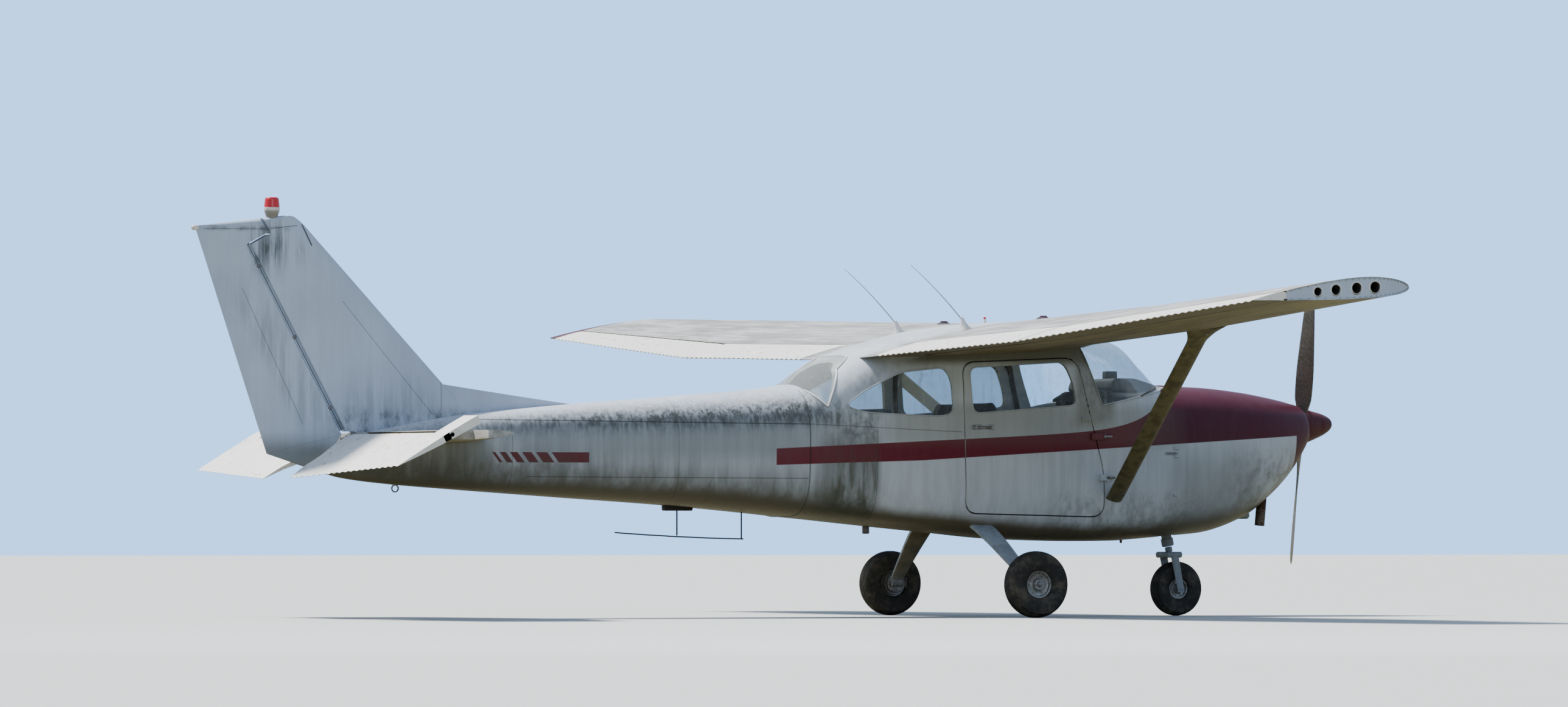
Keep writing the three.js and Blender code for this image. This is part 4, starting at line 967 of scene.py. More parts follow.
@dataclass(frozen=True)
class Pane:
    """Acrylic gone hazy: part of the light goes straight through, part scatters on both sides."""

    name: str
    haze: float = 0.18
    chalk: Colour = (0.8, 0.82, 0.84)

    def make(self) -> Material:
        """Builds the material: a clear shader mixed with a chalky one by patches of haze."""
        net = Net(self.name)
        fine = net.noise(24.0, detail=6.0, rough=0.7)
        runs = net.noise(1.0, (30.0, 30.0, 4.0), detail=5.0, rough=0.6)
        dim = net.plus(net.step(fine, 0.5, 0.8, 0.14), net.step(runs, 0.5, 0.8, 0.14))
        dim = net.plus(dim, self.haze)
        back = net.node("ShaderNodeBsdfDiffuse", {"Color": self.chalk})
        glow = net.node("ShaderNodeBsdfTranslucent", {"Color": self.chalk})
        chalky = net.node("ShaderNodeMixShader", {0: 0.6, 1: back.outputs[0], 2: glow.outputs[0]})
        clear = net.node("ShaderNodeBsdfTransparent", {0: (0.9, 0.93, 0.94)})
        gloss = net.node("ShaderNodeBsdfGlossy", {"Color": (0.9, 0.93, 0.95), "Roughness": 0.08})
        fresnel = net.node("ShaderNodeFresnel", {"IOR": 1.45})
        share = net.times(fresnel.outputs[0], 0.3)
        shine = net.node("ShaderNodeMixShader", {0: share, 1: clear.outputs[0],
                                                 2: gloss.outputs[0]})
        both = net.node("ShaderNodeMixShader", {0: dim, 1: shine.outputs[0], 2: chalky.outputs[0]})
        net.tree.links.new(both.outputs[0], net.output.inputs[0])
        return net.material


@dataclass(frozen=True)
class Trim:
    """Dark cabin trim: grained plastic or short carpet, faded in places."""

    name: str
    colour: Colour = (0.035, 0.037, 0.04)
    grain: float = 160.0
    depth: float = 0.0008

    def make(self) -> Material:
        """Builds the material."""
        net = Net(self.name)
        grain = net.cells(self.grain)
        cloud = net.noise(5.0, detail=4.0)
        colour = net.mix(net.step(cloud, 0.35, 0.7), self.colour, dimmed(self.colour, 1.7))
        net.bump(grain, self.depth, 0.8)
        return net.done(colour, net.linear(cloud, 0.25, 0.5))


@dataclass(frozen=True)
class Cloth:
    """Woven seat cloth: two crossing sets of threads, sun-faded on top."""

    name: str
    colour: Colour = (0.022, 0.027, 0.038)
    faded: Colour = (0.06, 0.066, 0.078)
    threads: float = 420.0

    def make(self) -> Material:
        """Builds the material: sine waves along y and across it, one lying over the other."""
        net = Net(self.name)
        warp = net.math("SINE", net.times(net.y, self.threads * 2))
        across = net.plus(net.x, net.z)
        weft = net.math("SINE", net.times(across, self.threads * 2))
        weave = net.plus(net.times(warp, weft), net.times(warp, 0.3))
        cloud = net.noise(6.0, detail=5.0)
        fade = net.plus(net.step(cloud, 0.35, 0.7, 0.5), net.step(net.facing[2], 0.2, 1.0, 0.4))
        colour = net.mix(fade, self.colour, self.faded)
        colour = net.mix(net.step(weave, -0.2, 0.9, 0.35), colour, dimmed(self.colour, 0.45))
        net.bump(weave, 0.0006, 0.6)
        return net.done(colour, 0.88, Sheen_Weight=0.35, Sheen_Roughness=0.5)


@dataclass(frozen=True)
class Lens:
    """A coloured lamp lens with moulded ribs."""

    name: str
    colour: Colour = (0.62, 0.012, 0.022)
    ribs: float = 420.0

    def make(self) -> Material:
        """Builds the material."""
        net = Net(self.name)
        ribs = net.math("SINE", net.times(net.z, self.ribs))
        cloud = net.noise(60.0, detail=4.0)
        colour = net.mix(net.step(cloud, 0.45, 0.75, 0.5), self.colour, dimmed(self.colour, 0.55))
        net.bump(ribs, 0.0008, 0.5)
        return net.done(colour, 0.22, Coat_Weight=0.5, Coat_Roughness=0.1)


@dataclass(frozen=True)
class Ground:
    """The pale studio floor, which throws little light back up."""

    name: str
    colour: Colour = (0.62, 0.64, 0.63)
    bounce: Colour = (0.2, 0.19, 0.12)

    def make(self) -> Material:
        """Builds the material."""
        net = Net(self.name)
        fine = net.noise(3.0, detail=6.0)
        colour = net.mix(net.step(fine, 0.3, 0.7, 0.25), self.colour, dimmed(self.colour, 0.93))
        seen = net.node("ShaderNodeLightPath", {}).outputs[0]
        net.bump(fine, 0.004, 0.3)
        return net.done(net.mix(seen, self.bounce, colour), 0.85)


class Paint(Enum):
    """Every finish of the aircraft and its studio."""

    BODY = OldPaint("body_paint", scheme=Scheme.CABIN, shoulder=0.95, low_dirt_and_shade=0.95,
                  stains_and_shadow=BODY_STAINS_AND_SHADOW + NOSE_STAINS, strokes=BODY_STROKES)
    COWL = OldPaint("cowl_paint", scheme=Scheme.COWLING, low_dirt_and_shade=0.95, coat=0.1,
                    stains_and_shadow=NOSE_STAINS, strokes=(Stroke((0.9, 0.8), (0.9, 1.45), 0.003, 0.4),))
    # The wing's brown under colour is partly dirt, partly painted shade and grass bounce light
    WING = OldPaint("wing_paint", clean=(0.58, 0.58, 0.57), streaks=0.6, cloudy=0.8,
                  grain=(9.0, 1.1, 9.0), under=(0.215, 0.18, 0.088))
    BEADED = BeadedPaint("beaded_paint")
    # Painted sky light: the tail's white paint is tinted blue for the sky that lights its shaded
    # upright faces
    TAIL = OldPaint("tail_paint", clean=(0.5, 0.585, 0.72), streaks=0.08, under_start=-0.5,
                  stains_and_shadow=TAIL_STAINS, strokes=TAIL_STROKES)
    CAP = OldPaint("cap_paint", clean=MAROON, streaks=0.3)
    SPINNER = OldPaint("spinner_paint", clean=MAROON, streaks=0.15, under_start=-2.0)
    # The strut's under colour is partly dirt, partly painted shade and grass bounce light
    STRUT = OldPaint("strut_paint", clean=(0.26, 0.225, 0.105), streaks=0.5, cloudy=0.9,
                   under=(0.175, 0.155, 0.085))
    LEG = OldPaint("leg_paint", clean=(0.36, 0.41, 0.47), streaks=0.4, under_start=-0.6)
    STEEL = OldMetal("fitting_metal")
    ENGINE = OldMetal("engine_metal", colour=(0.17, 0.17, 0.165), rusty=0.5, rough=0.5)
    EXHAUST = OldMetal("exhaust_metal", colour=(0.17, 0.13, 0.1), rusty=0.8, rough=0.6)
    BLADE = OldMetal("blade_metal", colour=(0.2, 0.185, 0.16), rust=(0.085, 0.08, 0.05),
                   metallic=0.55, rough=0.42)
    TYRE = Rubber("tyre_rubber")
    RIM = OldMetal("rim_metal", colour=(0.42, 0.43, 0.43), rusty=0.45, metallic=0.5)
    SEAL = Rubber("seal_rubber", dust=(0.05, 0.05, 0.04))
    PANE = Pane("side_pane", haze=0.04)
    FAR_PANE = Pane("port_side_pane", haze=0.42, chalk=(0.86, 0.87, 0.87))
    SCREEN = Pane("windscreen_pane", haze=0.1)
    REAR_PANE = Pane("rear_window_pane", haze=0.2, chalk=(0.8, 0.8, 0.77))
    LINING = Trim("cabin_lining", colour=(0.5, 0.51, 0.5))
    DARK = Trim("panel_trim")
    CARPET = Trim("floor_carpet", colour=(0.05, 0.045, 0.04), grain=420.0, depth=0.002)
    CLOTH = Cloth("seat_cloth")
    LENS = Lens("beacon_lens")
    LAMP = Lens("tail_lamp", colour=(0.72, 0.72, 0.68), ribs=300.0)
    WHITE = OldPaint("fitting_paint", clean=(0.78, 0.78, 0.77), streaks=0.2, cloudy=0.2)
    ROD = OldMetal("rod_metal", colour=(0.05, 0.05, 0.05), rusty=0.5, rough=0.6)
    GROUND = Ground("studio_floor")

    @staticmethod
    def glass(side: float) -> "Paint":
        """The port panes have stood in the sun and gone whiter."""
        return Paint.FAR_PANE if side > 0 else Paint.PANE


@dataclass
class Assembly:
    """A part of the aircraft, and the material made for each finish."""

    paints: dict[Paint, Material]

    def show(self, piece: Thing, paint: Paint, slot: str, body: str = "airframe",
             replaces: Sequence[str] = (), sharp: float = 38.0) -> None:
        """Finishes a piece: paint, shading, its body and the nodes it stands for.

        Args:
            piece: The object.
            paint: Its finish.
            slot: The record's material slot; not used.
            body: The body that it rides on.
            replaces: CAD nodes that it stands for.
            sharp: Edges that turn more than this many degrees stay crisp.
        """
        mesh = piece.data
        self.dress(piece, paint)
        mesh.polygons.foreach_set("material_index", np.zeros(len(mesh.polygons), np.int32))
        mesh.polygons.foreach_set("use_smooth", np.ones(len(mesh.polygons), bool))
        mesh.set_sharp_from_angle(angle=math.radians(sharp))
        mesh.update()
        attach(piece, body)
        if replaces:
            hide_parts(*replaces)
        LOG.info("%s: %d faces on %s", piece.name, len(mesh.polygons), body)

    def dress(self, piece: Thing, paint: Paint) -> None:
        """Gives an object one material: a new piece, or a CAD node that stays."""
        piece.data.materials.clear()
        piece.data.materials.append(self.paints[paint])

    def line_inside(self, piece: Thing, depth: float = 0.012) -> None:
        """Paints the faces that lie deeper than the skin with the cabin's lining."""
        mesh = piece.data
        centres = np.empty(len(mesh.polygons) * 3)
        mesh.polygons.foreach_get("center", centres)
        inside = FORM.share(centres.reshape(-1, 3) - SHIFT, depth) < 1
        mesh.materials.append(self.paints[Paint.LINING])
        mesh.polygons.foreach_set("material_index", inside.astype(np.int32))


@dataclass
class Fuselage(Assembly):
    """Cowling, cabin skin, tail cone and their panes."""

    wall: float = 0.028
    cowl_wall: float = 0.008
    cone_wall: float = 0.006
    pane_wall: float = 0.005
    face: float = 1.06

    def build(self) -> None:
        """Builds every piece of the fuselage."""
        self.cowling()
        self.cabin()
        self.cone()
        self.panes()
        self.seals()
        self.fittings()

    def cowling(self) -> None:
        """The nose: a thin shell that crowns over in front, with inlets and outlets cut in it."""
        stretch = np.concatenate([np.linspace(SKIN_GAP, 0.88, 56),
                                  np.linspace(0.89, self.face, 28)])
        rings = FORM.rings(stretch)
        middle = np.array([self.face, 0.0, 1.2425])
        share = np.array([0.975, 0.93, 0.86, 0.72, 0.5, 0.25])[:, None, None]
        crown = middle + (rings[-1] - middle) * share
        crown[..., 0] += 0.006 * (1 - share[..., 0] ** 2)
        shell = loft(np.concatenate([rings, crown])).thing("cowl_shell")
        room = loft(FORM.rings(np.linspace(-0.02, self.face - 0.01, 40), -self.cowl_wall, 120))
        mouth = rounded([(106, 1166), (178, 1174), (174, 1284), (110, 1293)], 32)
        holes = [prism(mouth * [side, 1], 0.98, 1.12, axis=0).outward() for _, side in SIDES]
        intake = prism(rounded([(-60, 985), (60, 985), (56, 1050), (-56, 1050)], 26), 0.93, 1.07, 0)
        shaft = turned([(0, 64), (140, 64)], (0.98, 0, 1.2535), (1, 0, 0.02), 40)
        outlet = prism(rounded([(-12, -190), (112, -190), (112, 190), (-12, 190)], 30),
                       0.47, 0.6, 2)
        pipe = turned([(-20, 38), (270, 38)], (0.69, -0.205, 0.598), (0.024, 0, 0.262), 32)
        leg = turned([(0, 62), (280, 62)], (0.119, 0, 0.43), (-0.2, 0, 1), 32)
        cut(shell, [room, holes[0] + holes[1] + intake, shaft, outlet, pipe + leg])
        self.show(shell, Paint.COWL, "cowl_skin", replaces=["cowling"])
        lips = [tube(np.insert(mouth * [side, 1], 0, self.face + 0.0005, axis=1), 0.006, 10,
                     End.JOINED, up=(1, 0.05, 0.02)) for _, side in SIDES]
        self.show((lips[0] + lips[1]).thing("cowl_inlet_lips"), Paint.COWL, "cowl_skin")

    def cabin(self) -> None:
        """The cabin skin: doors, windows and windscreen cut from one smooth form."""
        shell = FORM.solid(0.0, CABIN_END).thing("cabin_skin")
        room = FORM.solid(0.02, CABIN_END - 0.03, -self.wall, 0.034, 120)
        screens = side_cutter(rounded(WINDSHIELD, 0)) + side_cutter(rounded(REAR_WINDOW, 22))
        windows = side_cutter(rounded(SIDE_WINDOW, 60))
        doors = side_cutter(rounded(DOOR, 95, grow=7.5))
        cut(shell, [room, screens + windows, doors])
        self.show(shell, Paint.BODY, "body_skin",
                  replaces=["cabin_roof", "cabin_belly", "cabin_side_left", "cabin_side_right"])
        self.line_inside(shell)
        wall = FORM.solid(-2.585, -2.597, -self.wall - 0.002, 0.012, 96).thing("rear_bulkhead")
        cut(wall, [block((-2.59, 0, 0.99), (0.2, 1.2, 0.74), 0.002)], Cut.KEEP)
        self.show(wall, Paint.LINING, "cabin_trim")

    def cone(self) -> None:
        """The tail cone: cut off along the rudder post and notched for the elevator tube."""
        shell = FORM.solid(CABIN_END - SKIN_GAP, -5.95, 0.0, 0.03).thing("cone_skin")
        keep = side_cutter(np.array([(-2.7, 0.4), (-5.905, 0.4), (-5.905, 0.925), (-5.762, 1.172),
                                     (-5.762, 1.7), (-2.7, 1.7)]))
        cut(shell, [keep], Cut.KEEP)
        room = FORM.solid(CABIN_END + 0.01, -5.5, -self.cone_wall, 0.08, 96)
        cut(shell, [room, elevator_room()])
        self.show(shell, Paint.BODY, "body_skin", replaces=["tail_cone"])

    def pane(self, name: str, outline: Array, ends: tuple[float, float], depth: float,
             side: float = 0.0) -> Thing:
        """One pane: a thin layer of the body's form inside an outline.

        Args:
            name: The piece's name.
            outline: Its side-view outline in metres.
            ends: The stations ahead of it and behind it.
            depth: How far it lies below the skin.
            side: 1 or -1 for one side, or 0 for a pane that wraps across.

        Returns:
            The object.
        """
        layer = FORM.solid(*ends, -depth, 0.02).thing(name)
        cut(layer, [FORM.solid(ends[0] + 0.01, ends[1] - 0.01, -depth - self.pane_wall, 0.02)])
        return cut(layer, [side_cutter(outline, side)], Cut.KEEP)

    def panes(self) -> None:
        """Windscreen, rear window and rear side windows."""
        screen = self.pane("windshield_pane", rounded(WINDSHIELD, 0), (-0.0005, -0.8), 0.002)
        self.show(screen, Paint.SCREEN, "glazing", replaces=["windshield"])
        back = self.pane("rear_pane", rounded(REAR_WINDOW, 22), (-2.33, -2.712), 0.002)
        self.show(back, Paint.REAR_PANE, "glazing", replaces=["rear_window"])
        for name, side in SIDES:
            pane = self.pane(f"side_pane_{name}", rounded(SIDE_WINDOW, 60), (-1.7, -2.5), 0.005,
                             side)
            self.show(pane, Paint.glass(side), "glazing", replaces=[f"side_window_{name}"])

    def seals(self) -> None:
        """Rubber strips round the windows and along the windscreen's frame."""
        for name, side in SIDES:
            edge = FORM.on_side(rounded(SIDE_WINDOW, 60, 12), side, 0.0005)
            seal = tube(edge, 0.0042, 8, End.JOINED)
            self.show(seal.thing(f"window_seal_{name}"), Paint.BODY, "body_skin")
            rear = np.concatenate([np.linspace(a, b, 12) for a, b in (
                ((-2.352, 1.69), (-2.462, 1.606)), ((-2.464, 1.603), (-2.585, 1.372)),
                ((-2.592, 1.362), (-2.69, 1.47)))])
            frame_bar = tube(FORM.on_side(rear, side, 0.001), 0.007, 8)
            self.show(frame_bar.thing(f"rear_window_frame_{name}"), Paint.WHITE, "body_skin")
            corner = np.linspace((-0.35, 1.444), (-0.185, 1.508), 10)
            strip = tube(FORM.on_side(corner, side, 0.002), 0.009, 8, flat=0.5)
            self.show(strip.thing(f"corner_seal_{name}"), Paint.SEAL, "tyre")
        self.show(tube(self.screen_edge(WINDSHIELD[0], WINDSHIELD[6], WINDSHIELD[5], -0.618, 0.0),
                       0.005, 8, End.JOINED).thing("windshield_seal"), Paint.BODY, "body_skin")

    def screen_edge(self, foot: tuple, corner: tuple, top: tuple, roof: float,
                    sill: float) -> Array:
        """The closed line round the windscreen: up both pillars, over the roof, round the cowl.

        Args:
            foot: The pillar's lower end, as station and height in millimetres.
            corner: The pillar's upper end.
            top: Where the frame meets the roof line.
            roof: The station of the roof's edge.
            sill: The station of the cowling's edge.

        Returns:
            The points, on the skin.
        """
        pillar = np.concatenate([np.linspace(foot, corner, 14),
                                 np.linspace(corner, top, 8)[1:]]) * MM
        lower = np.linspace((sill * 1000, 1515.3), foot, 22) * MM
        port_side = FORM.on_side(np.concatenate([lower, pillar[1:]]), 1.0, 0.0015)
        over = np.linspace(1, -1, 21)[1:-1, None] * [0, port_side[-1, 1], 0] + [roof, 0, 0]
        over[:, 2] = FORM.height(over[:, 0], over[:, 1], 0.0015)
        front = np.linspace(-1, 1, 15)[1:-1, None] * [0, port_side[0, 1], 0] + [sill - 0.001, 0, 0]
        front[:, 2] = FORM.height(front[:, 0], front[:, 1], 0.0015)
        return np.concatenate([port_side, over, port_side[::-1] * [1, -1, 1], front])

    def fittings(self) -> None:
        """Small things on the fuselage: latches, side plates, lap strips and the drain scoop."""
        for name, side in SIDES:
            latches = [block(FORM.on_side((x, z), side, 0.002), (0.034, 0.008, 0.02), 0.004)
                       for x, z in ((-0.088, 1.052), (-0.088, 1.105), (-0.088, 0.8))]
            plate = block(FORM.on_side((-0.765, 1.292), side, 0.0015), (0.07, 0.006, 0.03), 0.003)
            parts = latches[0] + latches[1] + latches[2] + plate
            self.show(parts.thing(f"side_plates_{name}"), Paint.BODY, "body_skin")
            ring = FORM.rings([-2.7195])[0]
            lower = ring[(ring[:, 1] * side > 0) & (ring[:, 2] < 1.44)]
            order = np.argsort(lower[:, 2])
            lap = tube(lower[order], 0.004, 6, flat=0.5, up=(1, 0, 0.05))
            self.show(lap.thing(f"cone_lap_strip_{name}"), Paint.BODY, "body_skin")
        ribs = FORM.height(np.array([0.33, 0.45]), np.zeros(2), 0.0, False)
        scoop = block((0.6, 0.0, ribs[1] + 0.075), (0.16, 0.2, 0.05), 0.02)
        self.show(scoop.thing("cowl_drain_scoop"), Paint.COWL, "cowl_skin")


@dataclass
class Doors(Assembly):
    """The two cabin doors with their panes, handles and hinges."""

    wall: float = 0.028
    hinge_foot: tuple = (-0.596, 0.552, 0.66)
    straps: tuple = ((0.25, 0.054), (0.52, 0.095))

    def build(self) -> None:
        """Builds both doors."""
        for name, side in SIDES:
            self.door(name, side)
            self.hinges(name, side)

    def door(self, name: str, side: float) -> None:
        """A door: the body's skin inside the door's outline, less its window."""
        body = f"door_{name}"
        skin = FORM.solid(-0.6, -1.68).thing(f"door_skin_{name}")
        cut(skin, [FORM.solid(-0.58, -1.7, -self.wall, 0.03, 120)])
        cut(skin, [side_cutter(rounded(DOOR, 95), side)], Cut.KEEP)
        cut(skin, [side_cutter(rounded(DOOR_WINDOW, 60), side)])
        self.show(skin, Paint.BODY, "body_skin", body, [f"door_{name}"])
        self.line_inside(skin)
        pane = Fuselage(self.paints).pane(f"door_pane_{name}", rounded(DOOR_WINDOW, 60),
                                          (-0.8, -1.64), 0.005, side)
        self.show(pane, Paint.glass(side), "glazing", body, [f"door_glass_{name}"])
        edge = FORM.on_side(rounded(DOOR_WINDOW, 60, 12), side, 0.0005)
        seal = tube(edge, 0.0042, 8, End.JOINED)
        self.show(seal.thing(f"door_seal_{name}"), Paint.BODY, "body_skin", body)
        jamb = FORM.solid(-0.56, -1.72, -self.wall - 0.002, 0.02).thing(f"door_jamb_{name}")
        cut(jamb, [FORM.solid(-0.55, -1.73, -self.wall - 0.008, 0.02),
                   side_cutter(rounded(DOOR, 95, grow=-12), side)])
        cut(jamb, [side_cutter(rounded(DOOR, 95, grow=20), side)], Cut.KEEP)
        self.show(jamb, Paint.SEAL, "tyre")
        grip = FORM.on_side((-1.505, 1.232), side, 0.004)
        rest = FORM.on_side((-1.585, 1.232), side, 0.003)
        handle = (block(grip, (0.105, 0.01, 0.018), 0.004)
                  + block(rest, (0.026, 0.008, 0.026), 0.004))
        self.show(handle.thing(f"door_handle_{name}"), Paint.STEEL, "gear_steel", body)

    def hinges(self, name: str, side: float) -> None:
        """Straps with knuckles on the door, and pins on the post ahead of it."""
        way = np.array([-math.sin(NOSE_UP), 0, math.cos(NOSE_UP)])
        straps, pins = [], []
        for height, reach in self.straps:
            x, y, z = np.array(self.hinge_foot) + way * height
            centre = (x, y, z)
            straps.append(block((x - reach / 2, y - 0.001, z), (reach, 0.009, 0.044), 0.003))
            straps.append(block((x - reach + 0.012, (0.512 + y) / 2, z), (0.024, y - 0.508, 0.044),
                                0.003))
            for ends in ((-0.022, -0.012), (0.012, 0.022)):
                knuckle = [(ends[0], 0.006), (ends[0], 0.0105), (ends[1], 0.0105), (ends[1], 0.006)]
                straps.append(revolve(knuckle, centre, way, 20, End.JOINED))
            pins.append(turned([(-23, 5), (23, 5)], centre, way, 16))
            pins.append(block((x + 0.022, (0.506 + y + 0.008) / 2, z),
                              (0.06, y + 0.008 - 0.506, 0.014), 0.003))
        both = [joined(parts).to_side(side) for parts in (straps, pins)]
        self.show(both[0].thing(f"door_straps_{name}"), Paint.BODY, "body_skin", f"door_{name}")
        self.show(both[1].thing(f"door_pins_{name}"), Paint.STEEL, "gear_steel")


@dataclass
class Aerofoil:
    """A wing-like form read from a table of sections.

    The table's columns are distance out, nose x and z, tail x and z in millimetres, and the
    thickness as a share of the chord.
    """

    table: Sequence[Point]
    camber: float = 0.0
    smooth: bool = False

    def sizes(self, out: Array) -> tuple[Array, ...]:
        """Nose x and z, direction of the chord, its length and the thickness, as columns."""
        rows = np.asarray(self.table, float) * [MM, MM, MM, MM, MM, 1]
        read = smooth_table if self.smooth else straight_table
        nose_x, nose_z, tail_x, tail_z, thick = read(rows, np.asarray(out, float)).T[:, :, None]
        chord = np.hypot(tail_x - nose_x, tail_z - nose_z)
        return nose_x, nose_z, (tail_x - nose_x) / chord, (tail_z - nose_z) / chord, chord, thick

    def place(self, out: Array, share: Array, height: Array, side: float) -> Array:
        """Points at shares of the chord and heights square to it, for each distance out."""
        nose_x, nose_z, dx, dz, chord, _ = self.sizes(out)
        share, height = np.broadcast_arrays(share, height)
        y = np.broadcast_to(side * np.asarray(out)[:, None], share.shape)
        return np.stack([nose_x + dx * share * chord + dz * height, y,
                         nose_z + dz * share * chord - dx * height], -1)

    def profile(self, out: Array, share: Array) -> tuple[Array, Array]:
        """The middle line's height, two parabolas that meet at its peak, and half the thickness."""
        _, _, _, _, chord, thick = self.sizes(out)
        half = thick * half_thickness(share)
        peak = 0.4
        fore = self.camber / peak ** 2 * (2 * peak * share - share ** 2)
        aft = self.camber / (1 - peak) ** 2 * (1 - 2 * peak + 2 * peak * share - share ** 2)
        return np.where(share < peak, fore, aft) * chord, half * chord

    def skin(self, out: Array, share: Array, face: float, side: float,
             raised: Array = 0.0) -> Array:
        """Points on the upper face (1) or the lower face (-1)."""
        line, half = self.profile(out, share)
        return self.place(out, share, line + face * half + raised, side)

    def hinge_line(self, out: Point, hinge: Array, side: float) -> Array:
        """Points on the hinge line."""
        out = np.asarray(out, float)
        level, _ = self.profile(out, hinge)
        return self.place(out, hinge, level, side)[:, 0]

    def arc(self, out: Array, hinge: Array, radius: Array, angle: Array, side: float) -> Array:
        """Points round the hinge: share = hinge - r cos a / chord, height = level + r sin a."""
        level, _ = self.profile(out, hinge)
        chord = self.sizes(out)[4]
        return self.place(out, hinge - radius * np.cos(angle) / chord,
                          level + radius * np.sin(angle), side)

    def fixed(self, out: Array, hinge: Array, side: float) -> Shell:
        """The fixed part, with a hollow behind for the moving panel's round nose."""
        t = np.linspace(1, 0, 34)[None]
        share = hinge * t ** 2
        upper = self.skin(out, share, 1, side)
        lower = self.skin(out, share[:, -2::-1], -1, side)
        _, thick = self.profile(out, hinge)
        hollow = self.arc(out, hinge, thick - 0.002, np.linspace(-1.5, 1.5, 15)[None], side)
        return loft(np.concatenate([upper, lower, hollow], 1))

    def moving(self, out: Array, hinge: Array, travel: tuple[float, float], side: float,
               pitch: float = 0.0, depth: float = 0.0) -> Shell:
        """A moving panel with a round nose, and beads pressed across its skins.

        Args:
            out: Distances out; close together where the skin is beaded.
            hinge: Share of the chord where it turns.
            travel: Degrees up and down.
            side: 1 or -1.
            pitch: Distance between beads.
            depth: How far a bead stands up.

        Returns:
            The shell.
        """
        run = 0.006
        chord = self.sizes(out)[4]
        _, thick = self.profile(out, hinge)
        nose = thick - run - 0.0035
        step = [run / math.cos(math.radians(t)) + thick * math.tan(math.radians(t)) for t in travel]
        up, down = (hinge + s / chord for s in step)
        t = np.linspace(0, 1, 16)[None]
        ridge = 0.5 - np.abs((np.asarray(out)[:, None] / pitch) % 1 - 0.5) * 2 if pitch else 0.0
        fade = np.clip((t - 0.05) / 0.1, 0, 1)
        wave = depth * ridge * fade
        upper = self.skin(out, 1 + (up - 1) * t, 1, side, wave[:, ::-1] if pitch else 0.0)
        lower = self.skin(out, down + (1 - down) * t, -1, side, wave if pitch else 0.0)
        behind = [math.pi / 2 + math.radians(t) + np.arcsin(run / nose) for t in travel]
        spread = np.linspace(0, 1, 15)[None]
        angle = behind[0] + (-behind[1] - behind[0]) * spread
        nose_arc = self.arc(out, hinge, nose, angle, side)
        return loft(np.concatenate([upper, nose_arc, lower], 1))

    def whole(self, out: Array, side: float, thin: Union[Array, float] = 1.0) -> Shell:
        """The full section from nose to tail; thin scales its thickness."""
        share = np.linspace(1, 0, 36)[None] ** 2
        share = np.broadcast_to(share, (len(out), 36))
        line, half = self.profile(out, share)
        upper = self.place(out, share, line + half * thin, side)
        lower = self.place(out, share[:, -2::-1], (line - half * thin)[:, -2::-1], side)
        return loft(np.concatenate([upper, lower], 1))


def brackets(line: Array, shares: Point, forward: Point, pin: float) -> tuple:
    """Hinge plates with their pins, and the notches that clear them.

    Args:
        line: The hinge line's two ends.
        shares: Where the hinges stand along it.
        forward: The direction square to the line, ahead.
        pin: The pin's radius.

    Returns:
        The plates with their pins, the notches round the plates, and those round the pins.
    """
    along = unit(line[1] - line[0])
    ahead = np.asarray(forward, float)
    ways = np.stack([ahead, along, np.cross(ahead, along)])
    plates, notches, bores = [], [], []
    for share in shares:
        centre = line[0] + (line[1] - line[0]) * share
        plates.append(block(centre + ahead * (0.075 - pin - 0.002) / 2,
                            (0.077 + pin, 0.014, 2 * pin + 0.004), 0.002, ways))
        plates.append(revolve([(-0.023, pin), (0.023, pin)], centre, along, 14))
        notches.append(block(centre + ahead * 0.0405, (0.109, 0.024, 0.14), 0.002, ways))
        bores.append(revolve([(-0.024, pin + 0.001), (0.024, pin + 0.001)], centre, along, 14))
    return joined(plates), joined(notches), joined(bores)


